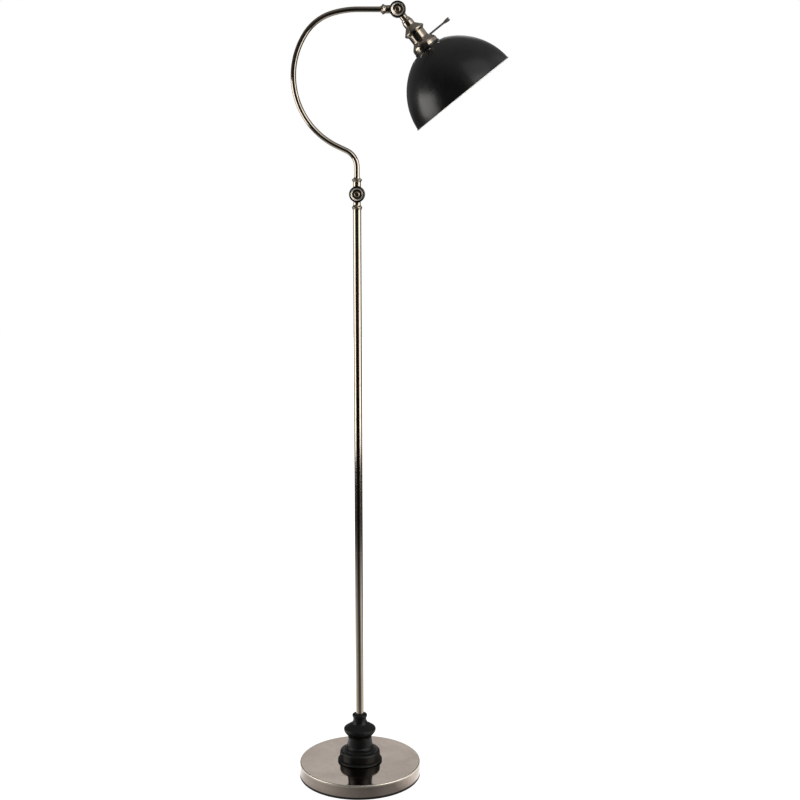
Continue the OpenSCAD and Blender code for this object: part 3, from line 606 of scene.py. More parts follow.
@dataclass(frozen=True)
class Rubber(Finish):
    """Black foam rubber of the floor pad, with open pores and lint on it."""

    def wire(self, w: Wiring, shader: Any, where: Socket, effects: Effects) -> None:
        """Pores in the relief and lint in the colour."""
        pores = w.remap(w.cells(where, 1400.0)["Distance"], 0.0, 0.45)
        lint = w.remap(w.noise(where, 90.0, 7.0, 0.7, 1.0), 0.6, 0.75)
        w.paint(shader, w.blend(lint, (0.003, 0.003, 0.003), (0.012, 0.011, 0.010)),
                w.remap(pores, 0.0, 1.0, 0.95, 0.72), w.bump(pores, 0.6, 0.12 * MM))


@dataclass(frozen=True)
class Fibre(Finish):
    """Vulcanised fibre of the friction discs: red brown, with fine fibres."""

    def wire(self, w: Wiring, shader: Any, where: Socket, effects: Effects) -> None:
        """Fibres that run across the disc."""
        fibres = w.effect(effects.drawn_marks, Vector=where, Lines_per_Metre=1800.0).outputs
        w.paint(shader, w.blend(fibres["Tone"], (0.16, 0.055, 0.03), (0.09, 0.03, 0.02)),
                w.remap(fibres["Height"], 0.3, 0.7, 0.55, 0.8), w.bump(fibres["Height"], 0.5, 0.03 * MM))


@dataclass(frozen=True)
class WireCover(Finish):
    """The wire's soft insulation, brown, with a plain satin skin."""

    def wire(self, w: Wiring, shader: Any, where: Socket, effects: Effects) -> None:
        """A slightly uneven skin."""
        skin = w.noise(where, 160.0, 4.0, 0.6)
        w.paint(shader, w.blend(w.remap(skin, 0.35, 0.7), (0.055, 0.042, 0.030), (0.035, 0.028, 0.022)),
                w.remap(skin, 0.3, 0.7, 0.4, 0.55), w.bump(skin, 0.3, 0.03 * MM))


# Modelling by hand


def rounded(corners: Sequence[Corner]) -> list[Point]:
    """Rounds the corners of a closed outline.

    Args:
        corners: each a radius and a height, and a rounding radius where the corner has one, in millimetres.

    Returns:
        The outline's points, in metres.
    """
    flat = [Vector((c[0], c[1])) * MM for c in corners]
    points: list[Point] = []
    for index, corner in enumerate(corners):
        here = flat[index]
        radius = corner[2] * MM if len(corner) > 2 else 0.0
        if radius == 0.0:
            points.append((here.x, here.y))
            continue
        before, after = ((flat[other] - here).normalized() for other in (index - 1, (index + 1) % len(flat)))
        half = before.angle(after) / 2
        centre = here + (before + after).normalized() * radius / math.sin(half)
        first = here + before * radius / math.tan(half) - centre
        last = here + after * radius / math.tan(half) - centre
        sweep = -first.angle_signed(last)
        count = max(1, math.ceil(abs(sweep) / CORNER_STEP))
        start = math.atan2(first.y, first.x)
        for turn in range(count + 1):
            angle = start + sweep * turn / count
            points.append((centre.x + radius * math.cos(angle), centre.y + radius * math.sin(angle)))
    return points


def only(piece: Piece) -> None:
    """Selects one object and nothing else."""
    bpy.ops.object.select_all(action="DESELECT")
    piece.select_set(True)
    bpy.context.view_layer.objects.active = piece


def edit(piece: Piece, action: str = "SELECT") -> None:
    """Goes into edit mode on one object, with all of it selected or nothing."""
    only(piece)
    bpy.ops.object.mode_set(mode="EDIT")
    bpy.ops.mesh.select_mode(type="VERT")
    bpy.ops.mesh.select_all(action=action)


def leave() -> None:
    """Leaves edit mode."""
    bpy.ops.object.mode_set(mode="OBJECT")


def draw(path: Sequence[Vector]) -> None:
    """Draws a line on from the selected point, which is the path's first, through the others."""
    for before, point in zip(path, path[1:]):
        bpy.ops.mesh.extrude_vertices_move(TRANSFORM_OT_translate={"value": point - before})


def named(piece: Piece, name: str) -> Piece:
    """Names an object and its mesh."""
    piece.name = name
    piece.data.name = name
    return piece


def lone_point(name: str, at: Vector) -> Piece:
    """Starts a piece from one point and leaves it in edit mode, with the point selected.

    Args:
        name: the piece's name.
        at: the point's place.

    Returns:
        The new object.
    """
    bpy.ops.object.select_all(action="DESELECT")
    bpy.ops.mesh.primitive_plane_add(size=MM, location=(0.0, 0.0, 0.0))
    piece = named(bpy.context.object, name)
    edit(piece)
    bpy.ops.mesh.merge(type="CENTER")
    bpy.ops.transform.translate(value=at)
    return piece


def turned(name: str, outline: Sequence[Point], steps: int = 120, sweep: float = math.tau) -> Piece:
    """Turns a closed outline about Z, point by point as on a lathe.

    Args:
        name: the piece's name.
        outline: its points, each a radius and a height in metres.
        steps: how many faces go round.
        sweep: how far round it goes.

    Returns:
        The new object, at the origin.
    """
    ring = [Vector((radius, 0.0, height)) for radius, height in outline]
    piece = lone_point(name, ring[0])
    draw(ring)
    bpy.ops.mesh.select_all(action="SELECT")
    bpy.ops.mesh.edge_face_add()
    if sweep >= math.tau:
        bpy.ops.mesh.delete(type="ONLY_FACE")
        bpy.ops.mesh.select_all(action="SELECT")
    bpy.ops.mesh.spin(steps=steps, angle=sweep, center=(0.0, 0.0, 0.0), axis=(0.0, 0.0, 1.0))
    close_up()
    return piece


def close_up(doubles: float = 0.002 * MM) -> None:
    """Merges what lies together in the mesh being edited, points its faces outwards and leaves edit mode."""
    bpy.ops.mesh.select_all(action="SELECT")
    bpy.ops.mesh.remove_doubles(threshold=doubles)
    bpy.ops.mesh.normals_make_consistent(inside=False)
    leave()


def modify(piece: Piece, kind: str, **settings: Any) -> None:
    """Adds a modifier to a piece and applies it."""
    only(piece)
    modifier = piece.modifiers.new(kind.lower(), kind)
    for name, value in settings.items():
        setattr(modifier, name, value)
    bpy.ops.object.modifier_apply(modifier=modifier.name)


@dataclass(frozen=True)
class Press:
    """A ring of points about a piece's own Z, between radii and heights in millimetres, and its new form."""

    low: Point = (0.0, -EVERYWHERE)
    high: Point = (EVERYWHERE, EVERYWHERE)
    scale: Place = (1.0, 1.0, 1.0)
    about: Place = (0.0, 0.0, 0.0)
    lift: float = 0.0
    place: LocalFrame = UPRIGHT

    def press(self, piece: Piece) -> None:
        """Scales the ring about a point and lifts it."""
        edit(piece, "DESELECT")
        leave()
        home = self.place.matrix().inverted()
        for point in piece.data.vertices:
            own = home @ point.co / MM
            point.select = (self.low[0] <= math.hypot(own.x, own.y) <= self.high[0]
                            and self.low[1] <= own.z <= self.high[1])
        bpy.ops.object.mode_set(mode="EDIT")
        bpy.ops.transform.resize(value=self.scale, center_override=self.about)
        bpy.ops.transform.translate(value=(0.0, 0.0, self.lift))
        leave()


def seat(piece: Piece, place: LocalFrame) -> Piece:
    """Moves a finished piece to its place, with the move kept in its mesh, and smooths its curves.

    Args:
        piece: the piece, modelled in its own axes.
        place: those axes.

    Returns:
        The same piece.
    """
    only(piece)
    piece.matrix_world = place.matrix()
    bpy.ops.object.transform_apply(location=True, rotation=True, scale=True)
    bpy.ops.object.shade_smooth_by_angle(angle=MODELLED_SMOOTH)
    return piece


# Sub-assemblies


@dataclass
class SubAssembly:
    """A group of pieces on one or two bodies, with the finishes of its nodes."""

    effects: Effects
    finishes: dict[str, bpy.types.Material] = field(default_factory=dict)

    def finish(self, finish: Finish) -> bpy.types.Material:
        """A finish's material, built on its first use."""
        if finish.name not in self.finishes:
            self.finishes[finish.name] = finish.material(self.effects)
        return self.finishes[finish.name]

    def dress(self, finish: Finish, *nodes: str) -> None:
        """Gives solids of the frame their finish."""
        material = self.finish(finish)
        for node in nodes:
            solid = frame["nodes"][node]
            if not solid.material_slots:
                solid.data.materials.append(material)
            for slot in solid.material_slots:
                slot.material = material
            LOG.info("dressed %s in %s", node, finish.name)

    def refine(self, body: Body, slot: str, finish: Finish, *nodes: str,
               presses: Sequence[Press] = ()) -> None:
        """Lets merged copies of solids stand for them, with their roundings shaded as curves.

        Args:
            body: the body that they move with.
            slot: the record's material slot, passed on to stand_in, which does not use it.
            finish: their finish.
            nodes: the solids.
            presses: what reshapes the merged copies, in order.
        """
        for node in nodes:
            name = f"{node}_refined"
            piece = bpy.data.objects.new(name, frame["nodes"][node].data.copy())
            bpy.context.scene.collection.objects.link(piece)
            named(piece, name)
            only(piece)
            bpy.ops.mesh.customdata_custom_splitnormals_clear()
            edit(piece)
            close_up(0.001 * MM)
            for press in presses:
                press.press(piece)
            bpy.ops.object.shade_smooth_by_angle(angle=REFINED_SMOOTH)
            modify(piece, "WEIGHTED_NORMAL", weight=90, keep_sharp=True)
            self.stand_in(piece, node, body, slot, finish)

    def stand_in(self, piece: Piece, node: str, body: Body, slot: str, finish: Finish) -> None:
        """Lets a modelled piece stand for a solid.

        Args:
            piece: the modelled piece, in its place.
            node: the solid that it stands for.
            body: the body that it moves with.
            slot: the record's material slot; not used.
            finish: its finish.
        """
        piece.data.materials.clear()
        piece.data.materials.append(self.finish(finish))
        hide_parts(node)
        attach(piece, body.value)
        LOG.info("modelled %s, %d faces", piece.name, len(piece.data.polygons))


# The bright ring on the cover's top edge is a painted highlight for the rim's bright line, laid on an edge rubbed
# by wear.
BRASS_BASE = AntiqueBrass("brass_base", clouds=16.0, bright=(0.42, 0.355, 0.305), dull=(0.285, 0.232, 0.195),
                          roughness=0.06, roughness_spread=0.06, lines=1500.0,
                          painted_rings=(PaintedLightRing(120.8 * MM, 1.0, (0.64, 0.585, 0.505), 0.30, above=25.0 * MM),))
BRASS_STEM = AntiqueBrass("brass_stem", grain=Grain.DRAWN)
BRASS_COLLAR = AntiqueBrass("brass_collar", clouds=60.0)
BRASS_ARM = AntiqueBrass("brass_arm", grain=Grain.FOLLOWS_TUBE)
BRASS_HEAD = AntiqueBrass("brass_head", place=HEAD, clouds=45.0)
# Knuckle discs: the light ring round the hub is a painted highlight, and the dark ring at the disc's rim is
# painted shade for the dark room it mirrors.
KNUCKLE_PAINTED_RINGS = (PaintedLightRing(9.4 * MM, 12.0 * MM, (0.86, 0.80, 0.70), 0.34, soft=0.5 * MM),
                 PaintedLightRing(12.0 * MM, 16.0 * MM, (0.030, 0.026, 0.022), 0.10, soft=0.5 * MM))
BRASS_LOWER_KNUCKLE = AntiqueBrass("brass_lower_knuckle", place=LOWER_KNUCKLE, clouds=90.0,
                                   painted_rings=KNUCKLE_PAINTED_RINGS)
BRASS_UPPER_KNUCKLE = AntiqueBrass("brass_upper_knuckle", place=UPPER_KNUCKLE, clouds=90.0,
                                   painted_rings=KNUCKLE_PAINTED_RINGS)
SCREW_LOWER = AntiqueBrass("screw_lower", place=LOWER_KNUCKLE, clouds=150.0, bright=(0.50, 0.42, 0.32),
                           roughness=0.14)
SCREW_UPPER = AntiqueBrass("screw_upper", place=UPPER_KNUCKLE, clouds=150.0, bright=(0.50, 0.42, 0.32),
                           roughness=0.14)
SOCKET_BRASS = BrightBrass("socket_brass", place=HEAD)
SPINDLE_PAINT = BlackPaint("spindle_paint")
SHADE_PAINT = ShadePaint("shade_paint", place=HEAD)
PHENOLIC = Moulding("phenolic", place=HEAD)
SWITCH_MOULDING = Moulding("switch_moulding", place=HEAD, colour=(0.075, 0.066, 0.055),
                           filler=(0.11, 0.10, 0.085),
                           roughness=0.30)
BUSHING = Moulding("bushing_plastic", roughness=0.42)
ZINC = ZincSteel("zinc_steel")
IRON = CastIron("cast_iron")
PAD = Rubber("pad_rubber")
FIBRE = Fibre("disc_fibre")
WIRE = WireCover("wire_cover")


@dataclass
class BaseAndSpindle(SubAssembly):
    """The weighted base, the black spindle and what draws them together."""

    cover_wall: float = 17.0
    cover_top: float = 25.0
    cover_lift: float = 4.5
    foot_crown: float = 33.9
    pad_radius: float = 123.5
    pad_reach: float = 124.9

    def build(self) -> None:
        """Dresses the base's solids, and reshapes the pad, the cover and the foot that stands on it.

        The pad reaches the cover's edge, where it shows as the black line under the base. The cover's top is
        lifted, so that its wall stands as tall as the photograph's. The foot's lowest bead is pressed together by
        as much, from below.
        """
        wide = self.pad_reach / self.pad_radius
        flatter = 1.0 - self.cover_lift / (self.foot_crown - self.cover_top)
        squeeze = Press(low=(0.0, 0.0), high=(EVERYWHERE, self.foot_crown), scale=(1.0, 1.0, flatter),
                        about=(0.0, 0.0, self.foot_crown * MM))
        self.refine(Body.BASE, "pad_rubber", PAD, "base_pad", presses=[Press(scale=(wide, wide, 1.0))])
        self.dress(IRON, "base_weight")
        self.dress(ZINC, "base_washer", "base_nut", "lamp_pipe")
        self.refine(Body.BASE, "antique_brass", BRASS_BASE, "base_cover",
                    presses=[Press(low=(0.0, self.cover_wall), lift=self.cover_lift * MM)])
        self.refine(Body.BASE, "black_bushing", BUSHING, "cord_bushing")
        self.refine(Body.BASE, "black_paint", SPINDLE_PAINT, "spindle_foot", presses=[squeeze])
        self.refine(Body.BASE, "black_paint", SPINDLE_PAINT, "spindle_vase", "spindle_collar")


class Stem(SubAssembly):
    """The three stem tubes with their plug, couplers, collar and wire."""

    def build(self) -> None:
        """Dresses the stem's solids."""
        self.dress(ZINC, "stem_plug", "stem_coupler_lower", "stem_coupler_upper")
        self.dress(BRASS_STEM, "stem_lower", "stem_middle", "stem_upper")
        self.dress(WIRE, "stem_lead")
        self.refine(Body.BASE, "antique_brass", BRASS_COLLAR, "stem_collar")


@dataclass
class Knuckles(SubAssembly):
    """Both tilting knuckles: their halves, discs, screws, washers and nuts."""

    pivot: float = 6.0
    nut_flats: float = 9.0
    nut_height: float = 3.2
    nut_top: float = 9.8
    washer_width: float = 11.0
    washer_thickness: float = 0.8
    washer_top: float = 6.6
    washer_split: float = 0.12
    dish_floor: tuple[Point, Point, float] = ((10.3, 12.1), (6.2, 7.5), 0.87)
    dish_mouth: tuple[Point, Point, float] = ((12.4, 13.5), (7.6, 8.7), 0.935)

    def narrowing(self, place: LocalFrame, side: float) -> list[Press]:
        """How a dish's floor and mouth are drawn in, so that its flat ring is as wide as in the photograph.

        Args:
            place: the knuckle's own axes.
            side: 1 for the front half, -1 for the rear one.

        Returns:
            The presses.
        """
        presses = []
        for radii, depths, narrow in (self.dish_floor, self.dish_mouth):
            low, high = sorted(side * depth for depth in depths)
            presses.append(Press((radii[0], low), (radii[1], high), (narrow, 1.0, narrow), place.origin,
                                 place=place))
        return presses

    def nut(self, name: str, place: LocalFrame) -> Piece:
        """A hexagon nut with its corners chamfered, round the screw's end on the rear side."""
        corner = self.nut_flats / math.sqrt(3)
        low, high = -self.nut_top, -self.nut_top + self.nut_height
        bore, flat = self.pivot / 2 + 0.05, self.nut_flats / 2 - 0.1
        fall = (corner - flat) * math.tan(math.radians(30))
        bpy.ops.object.select_all(action="DESELECT")
        bpy.ops.mesh.primitive_cylinder_add(vertices=6, radius=corner * MM, depth=self.nut_height * MM,
                                            location=(0.0, 0.0, (low + high) / 2 * MM))
        prism = named(bpy.context.object, name)
        bpy.ops.object.transform_apply(location=True, rotation=True, scale=True)
        form = turned("nut_form", rounded([
            (bore, low + 0.4), (bore + 0.4, low - 0.01), (flat, low - 0.01), (corner + 0.1, low + fall),
            (corner + 0.1, high - fall), (flat, high + 0.01), (bore + 0.4, high + 0.01),
            (bore, high - 0.4)]), 96)
        modify(prism, "BOOLEAN", operation="INTERSECT", solver="EXACT", object=form)
        bpy.data.objects.remove(form)
        return seat(prism, place)

    def washer(self, name: str, place: LocalFrame) -> Piece:
        """A split spring washer: a ring with a narrow gap."""
        inner, outer = self.pivot / 2 + 0.05, self.washer_width / 2
        low, high = -self.washer_top, -self.washer_top + self.washer_thickness
        ring = turned(name, rounded([(inner, low, 0.1), (outer, low, 0.15), (outer, high, 0.15),
                                     (inner, high, 0.1)]),
                      90, math.tau - self.washer_split)
        edit(ring, "DESELECT")
        bpy.ops.mesh.select_non_manifold()
        bpy.ops.mesh.edge_face_add()
        close_up()
        return seat(ring, place)

    def build(self) -> None:
        """Dresses the halves and models the nuts and washers."""
        for knuckle, place, brass, screw, bodies in (
                ("stem", LOWER_KNUCKLE, BRASS_LOWER_KNUCKLE, SCREW_LOWER, Body.BASE),
                ("head", UPPER_KNUCKLE, BRASS_UPPER_KNUCKLE, SCREW_UPPER, Body.HEAD)):
            for half, body, side in (("front", bodies, 1.0), ("rear", Body.ARM, -1.0)):
                self.refine(body, "antique_brass", brass, f"{knuckle}_knuckle_{half}",
                            presses=self.narrowing(place, side))
            self.dress(FIBRE, f"{knuckle}_friction_disc")
            self.refine(bodies, "pivot_brass", screw, f"{knuckle}_pivot_screw")
            self.stand_in(self.nut(f"{knuckle}_pivot_nut_chamfered", place), f"{knuckle}_pivot_nut", bodies,
                          "pivot_brass", screw)
            self.stand_in(self.washer(f"{knuckle}_spring_washer_split", place), f"{knuckle}_spring_washer",
                          bodies,
                          "zinc_steel", ZINC)


@dataclass
class Arm(SubAssembly):
    """The hooked arm, bent from one tube, with a beaded collar at each end."""

    tube: float = 10.5
    wall: float = 1.0
    start: float = 1217.5
    rise: float = 30.0
    bend_out: Point = (34.0, 65.0)
    slant: float = 19.0
    hook_low: Point = (145.0, -98.0)
    hook_shoulder: Point = (93.0, -40.0)
    hook_end: Point = (170.0, -17.0)
    reach: float = 53.0
    sides: int = 40

    def run(self) -> list[Point]:
        """The tube's stretches: a length and no turn, or a bend's radius and its turn in degrees."""
        return [(self.rise, 0.0), self.bend_out, (self.slant, 0.0), self.hook_low, self.hook_shoulder,
                self.hook_end, (self.reach, 0.0)]

    def walk(self, stretch: Point, at: Vector, heading: float) -> tuple[Vector, float, Vector]:
        """One stretch further along the tube.

        Args:
            stretch: the stretch.
            at: where it starts, in millimetres.
            heading: its heading above +X, in radians.

        Returns:
            Its end, the heading there and the bend's centre.
        """
        size, turn = stretch
        if turn == 0.0:
            return at + size * Vector((math.cos(heading), 0.0, math.sin(heading))), heading, at
        side, angle = math.copysign(1.0, turn), math.radians(turn)
        centre = at + size * side * Vector((-math.sin(heading), 0.0, math.cos(heading)))
        out = at - centre
        end = centre + Vector((out.x * math.cos(angle) - out.z * math.sin(angle), 0.0,
                               out.x * math.sin(angle) + out.z * math.cos(angle)))
        return end, heading + angle, centre

    def sweep(self, name: str, radius: float) -> Piece:
        """Draws a circle along the run, by extruding the straights and spinning the bends."""
        bpy.ops.object.select_all(action="DESELECT")
        bpy.ops.mesh.primitive_circle_add(vertices=self.sides, radius=radius * MM,
                                          location=(0, 0, self.start * MM))
        piece = named(bpy.context.object, name)
        bpy.ops.object.transform_apply(location=True, rotation=True, scale=True)
        edit(piece)
        at, heading = Vector((0.0, 0.0, self.start)), math.pi / 2
        for stretch in self.run():
            end, after, centre = self.walk(stretch, at, heading)
            if stretch[1] == 0.0:
                for _ in range(4):
                    bpy.ops.mesh.extrude_edges_move(TRANSFORM_OT_translate={"value": (end - at) / 4 * MM})
            else:
                bpy.ops.mesh.spin(steps=math.ceil(abs(stretch[1]) / 2.0), angle=math.radians(abs(stretch[1])),
                                  center=centre * MM, axis=(0.0, math.copysign(1.0, stretch[1]), 0.0))
            at, heading = end, after
        return piece

    def lay_grain(self, piece: Piece) -> None:
        """Writes the UV map "run": once round the tube in U, and metres along it in V."""
        centres: list[tuple[Vector, float, float]] = []
        at, heading, length = Vector((0.0, 0.0, self.start)), math.pi / 2, 0.0
        for size, turn in self.run():
            span = size if turn == 0.0 else size * math.radians(abs(turn))
            count = math.ceil(span)
            for part in range(count):
                share = part / count
                stretch = (size * share, 0.0) if turn == 0.0 else (size, turn * share)
                here, facing, _ = (at, heading, at) if part == 0 else self.walk(stretch, at, heading)
                centres.append((here * MM, facing, (length + span * share) * MM))
            at, heading, _ = self.walk((size, turn), at, heading)
            length += span
        centres.append((at * MM, heading, length * MM))
        tree = KDTree(len(centres))
        for index, (centre, _, _) in enumerate(centres):
            tree.insert(centre, index)
        tree.balance()
        layer = piece.data.uv_layers.new(name="run")
        for face in piece.data.polygons:
            found = []
            for corner in face.loop_indices:
                point = piece.data.vertices[piece.data.loops[corner].vertex_index].co
                centre, facing, along = centres[tree.find(point)[1]]
                off = point - centre
                along += off.x * math.cos(facing) + off.z * math.sin(facing)
                side = -off.x * math.sin(facing) + off.z * math.cos(facing)
                found.append((corner, (math.atan2(off.y, side) / math.tau) % 1.0, along))
            wraps = max(u for _, u, _ in found) - min(u for _, u, _ in found) > 0.5
            for corner, u, along in found:
                layer.data[corner].uv = (u + 1.0 if wraps and u < 0.5 else u, along)

    def bent_tube(self) -> Piece:
        """The whole tube with its wall, its ends square."""
        tube = self.sweep("arm_tube_bent", self.tube / 2)
        close_up()
        modify(tube, "SOLIDIFY", thickness=self.wall * MM, offset=-1.0)
        self.lay_grain(tube)
        return seat(tube, UPRIGHT)

    def build(self) -> None:
        """Models the tube and dresses the rest."""
        self.stand_in(self.bent_tube(), "arm_tube", Body.ARM, "antique_brass", BRASS_ARM)
        self.refine(Body.ARM, "antique_brass", BRASS_COLLAR, "arm_collar_lower", "arm_collar_upper")
        self.dress(WIRE, "arm_lead")


@dataclass
class Head(SubAssembly):
    """The socket cap and cup, the shade holder, the lampholder and the shade."""

    shell_bore: float = 13.3
    shell_sheet: float = 0.5
    shell_floor: float = 84.3
    shell_mouth: float = 110.8
    thread_pitch: float = 3.62
    thread_depth: float = 0.62
    thread_turns: int = 6
    wave_points: int = 10
    floor_hole: float = 5.5

    def screw_shell(self) -> Piece:
        """The pressed shell with its rolled thread: a wave of one pitch, screwed along the axis."""
        inner, outer = self.shell_bore, self.shell_bore + self.shell_sheet
        low, high = self.shell_floor, self.shell_mouth
        middle = (inner + outer - self.thread_depth) / 2
        start = high - 1.2 - (self.thread_turns + 1) * self.thread_pitch
        wave = []
        for i in range(self.wave_points + 1):
            swell = self.thread_depth / 2 * math.cos(math.tau * i / self.wave_points)
            rise = self.thread_pitch * i / self.wave_points
            wave.append(Vector(((middle + swell) * MM, 0.0, (start + rise) * MM)))
        shell = lone_point("screw_shell_rolled", wave[0])
        draw(wave)
        leave()
        modify(shell, "SCREW", axis="Z", steps=72, render_steps=72, screw_offset=self.thread_pitch * MM,
               iterations=self.thread_turns, use_merge_vertices=True, merge_threshold=0.002 * MM)
        modify(shell, "SOLIDIFY", thickness=0.4 * MM, offset=0.0)
        edit(shell)
        close_up()
        lip = turned("shell_lip", rounded([
            (inner, high - 2.2), (outer, high - 2.2), (outer, high, 0.2), (inner, high, 0.2)]))
        floor = turned("shell_floor", rounded([
            (self.floor_hole, low), (outer, low, 0.4), (outer, low + 2.4), (inner, low + 2.4),
            (inner, low + self.shell_sheet, 0.3), (self.floor_hole, low + self.shell_sheet)]))
        only(shell)
        lip.select_set(True)
        floor.select_set(True)
        bpy.ops.object.join()
        return seat(shell, HEAD)

    def build(self) -> None:
        """Models the shell and dresses the rest."""
        self.stand_in(self.screw_shell(), "screw_shell", Body.HEAD, "bright_brass", SOCKET_BRASS)
        self.refine(Body.HEAD, "antique_brass", BRASS_HEAD, "socket_cap", "socket_cup", "shade_holder")
        self.refine(Body.HEAD, "shade_paint", SHADE_PAINT, "shade")
        self.refine(Body.HEAD, "lampholder_black", PHENOLIC, "lampholder", "shade_ring")
        self.dress(ZINC, "cup_nut")
        self.dress(SOCKET_BRASS, "terminal_screws", "centre_contact")
        self.dress(WIRE, "head_lead")


class Switch(SubAssembly):
    """The turn switch: its rod and its knob."""

    def build(self) -> None:
        """Dresses the rod and the knob."""
        self.refine(Body.SWITCH, "switch_black", SWITCH_MOULDING, "switch_rod", "switch_knob")


# Studio


@dataclass
class SoftBox:
    """A soft rectangular lamp that looks at a point."""

    name: str
    place: Place
    aim: Place
    width: float
    height: float
    radiance: float
    colour: Colour = (1.0, 0.985, 0.96)

    def light(self) -> None:
        """Adds the lamp; its power gives its face the wanted radiance."""
        data = bpy.data.lights.new(self.name, "AREA")
        data.shape = "RECTANGLE"
        data.size, data.size_y = self.width, self.height
        data.energy = self.radiance * math.pi * self.width * self.height
        data.color = self.colour
        lamp = bpy.data.objects.new(self.name, data)
        bpy.context.scene.collection.objects.link(lamp)
        lamp.location = self.place
        lamp.rotation_mode = "QUATERNION"
        lamp.rotation_quaternion = (Vector(self.aim) - Vector(self.place)).to_track_quat("-Z", "Y")


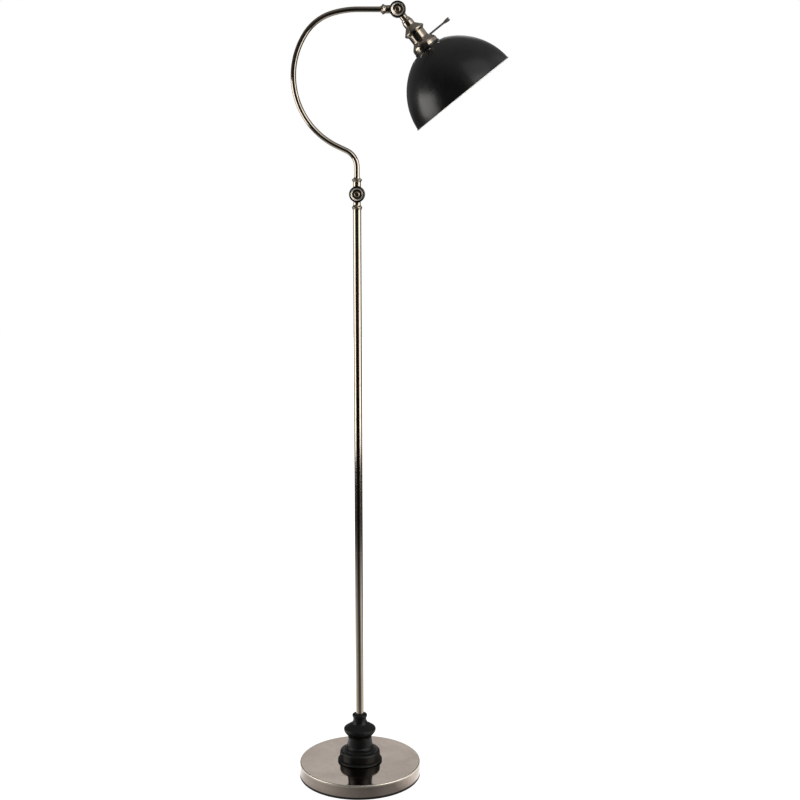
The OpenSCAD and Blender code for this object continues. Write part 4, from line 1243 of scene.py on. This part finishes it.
@dataclass
class Studio:
    """The camera, the pale floor, the world and the lamps."""

    camera_place: Place = (0.0833, -2.762, 1.277)
    tilt: float = math.radians(10.0)
    lens: float = 63.45
    floor_size: float = 14.0
    world_fill: float = 0.62
    floor_near: Sequence[tuple[float, float]] = (
        (-180, 0.6), (-122, 2.0), (-77, 0.8), (-44, 0.5), (-14, 0.18), (14, 0.08), (44, 0.25), (77, 1.4),
        (122, 0.9),
        (180, 0.6))
    floor_far: Sequence[tuple[float, float]] = (
        (-180, 0.4), (-122, 0.8), (-77, 0.6), (-44, 0.3), (-14, 0.02), (14, 0.02), (44, 0.6), (77, 1.2),
        (122, 0.1),
        (180, 0.4))

    def camera(self) -> None:
        """The camera at the photograph's angle, level from side to side."""
        data = bpy.data.cameras.new("camera")
        data.sensor_width, data.lens = 36.0, self.lens
        data.clip_start, data.clip_end = 0.05, 60.0
        eye = bpy.data.objects.new("camera", data)
        bpy.context.scene.collection.objects.link(eye)
        eye.location = self.camera_place
        eye.rotation_euler = (math.pi / 2 - self.tilt, 0.0, 0.0)
        bpy.context.scene.camera = eye

    def floor(self) -> None:
        """A plain white floor that keeps a faint shadow."""
        bpy.ops.object.select_all(action="DESELECT")
        bpy.ops.mesh.primitive_plane_add(size=self.floor_size, location=(0.0, 0.0, 0.0))
        plane = named(bpy.context.object, "studio_floor")
        plane.data.materials.append(self.floor_paper())

    @staticmethod
    def round_levels(w: Wiring, bearing: Socket, levels: Sequence[tuple[float, float]]
                     ) -> Socket:
        """A brightness for each bearing round the lamp.

        Args:
            w: the material's wiring.
            bearing: 0 to 1 round the lamp, 0.5 towards the camera and more to its right.
            levels: each a bearing in degrees from the camera's, to the right, and a brightness.

        Returns:
            The brightness.
        """
        node = w.add("ShaderNodeValToRGB")
        w.feed(node.inputs[0], bearing)
        stops = node.color_ramp.elements
        while len(stops) < len(levels):
            stops.new(0.5)
        for stop, (degrees, level) in zip(stops, levels):
            stop.position = 0.5 + degrees / 360.0
            stop.color = (level, level, level, 1.0)
        return node.outputs[0]

    def floor_paper(self) -> bpy.types.Material:
        """White paper: white to the camera, and in reflections as bright as the lit room leaves it."""
        paper = bpy.data.materials.new("studio_paper")
        paper.use_nodes = True
        w = Wiring(paper.node_tree)
        paper.node_tree.nodes.clear()
        path = w.add("ShaderNodeLightPath").outputs
        where = w.add("ShaderNodeTexCoord").outputs["Object"]
        x, y, _ = w.split(where)
        away = w.radius(x, y)
        bearing = w.plus(w.math("DIVIDE", w.math("ARCTAN2", x, w.times(y, -1.0)), math.tau), 0.5)
        near = self.round_levels(w, bearing, self.floor_near)
        far = self.round_levels(w, bearing, self.floor_far)
        mirrored = w.blend(w.remap(away, 0.4, 1.2), near, far)
        mirrored = w.plus(mirrored, w.remap(away, 0.16, 0.40, 0.14, 0.0))
        mirrored = w.times(mirrored, w.remap(away, 1.2, 1.9, 1.0, 0.1))
        white = w.remap(away, 0.18, 0.75, 0.80, 1.0)
        seen = w.times(w.most(path["Is Camera Ray"], path["Is Transmission Ray"]), white)
        glow = w.add("ShaderNodeEmission")
        w.feed(glow.inputs["Strength"], w.plus(seen, w.times(path["Is Glossy Ray"], mirrored)))
        matt = w.add("ShaderNodeBsdfDiffuse")
        w.feed(matt.inputs["Color"], w.blend(path["Is Glossy Ray"], (0.34, 0.34, 0.34), (0.0, 0.0, 0.0)))
        both = w.add("ShaderNodeAddShader")
        w.feed(both.inputs[0], glow.outputs[0])
        w.feed(both.inputs[1], matt.outputs[0])
        w.feed(w.add("ShaderNodeOutputMaterial").inputs["Surface"], both.outputs[0])
        return paper

    def world(self) -> None:
        """White to the camera; in reflections bright behind the lamp and dark behind the camera."""
        sky = bpy.data.worlds.new("studio_room")
        bpy.context.scene.world = sky
        sky.use_nodes = True
        w = Wiring(sky.node_tree)
        sky.node_tree.nodes.clear()
        path = w.add("ShaderNodeLightPath").outputs
        x, y, z = w.split(w.add("ShaderNodeTexCoord").outputs["Generated"])
        off_level = w.math("ABSOLUTE", w.math("SUBTRACT", z, 0.38))
        off_middle = w.math("ABSOLUTE", x)
        backdrop = w.times(w.remap(y, 0.80, 0.88, 0.0, 0.95), w.remap(off_level, 0.16, 0.30, 1.0, 0.05))
        backdrop = w.times(backdrop, w.remap(off_middle, 0.10, 0.22, 1.0, 0.1))
        high_right = w.times(w.remap(x, 0.45, 0.60, 0.0, 0.50), w.remap(z, 0.28, 0.45))
        room = w.remap(y, -0.55, 0.10, 0.03, 0.17)
        overhead = w.remap(z, 0.35, 0.9, 0.0, 0.26)
        mirrored = w.most(w.most(backdrop, room), w.most(overhead, high_right))
        level = w.blend(path["Is Glossy Ray"], (self.world_fill,) * 3, w.join(mirrored, mirrored, mirrored))
        white = w.most(path["Is Camera Ray"], path["Is Transmission Ray"])
        air = w.add("ShaderNodeBackground")
        w.feed(air.inputs["Color"], w.blend(white, level, (1.0, 1.0, 1.0)))
        w.feed(w.add("ShaderNodeOutputWorld").inputs["Surface"], air.outputs[0])

    def lamps(self) -> None:
        """Soft boxes at the left and right of the lamp, one in front of its head and a dim one above."""
        for box in (SoftBox("soft_box_left", (-1.53, -0.21, 0.88), (0.0, 0.0, 0.88), 1.35, 1.08, 3.2),
                    SoftBox("soft_box_right", (1.61, -0.68, 1.15), (0.0, 0.0, 1.15), 1.75, 1.7, 2.8),
                    SoftBox("soft_box_front", (1.25, -1.44, 2.26), (0.13, 0.0, 1.45), 1.35, 0.72, 2.2),
                    SoftBox("soft_box_above", (0.9, -1.1, 2.9), (0.1, 0.0, 1.3), 1.7, 1.2, 0.6)):
            box.light()

    def build(self) -> None:
        """Sets up the studio."""
        self.camera()
        self.floor()
        self.world()
        self.lamps()
        bpy.context.scene.view_settings.view_transform = "Standard"
        LOG.info("studio ready")


def main() -> None:
    """Builds the studio and each sub-assembly in order."""
    logging.basicConfig(level=logging.INFO, format="%(message)s")
    Studio().build()
    effects = Effects()
    finishes: dict[str, bpy.types.Material] = {}
    builders: Sequence[Callable[..., SubAssembly]] = (BaseAndSpindle, Stem, Knuckles, Arm, Head, Switch)
    for builder in builders:
        builder(effects, finishes).build()


if __name__ == "__main__":
    main()
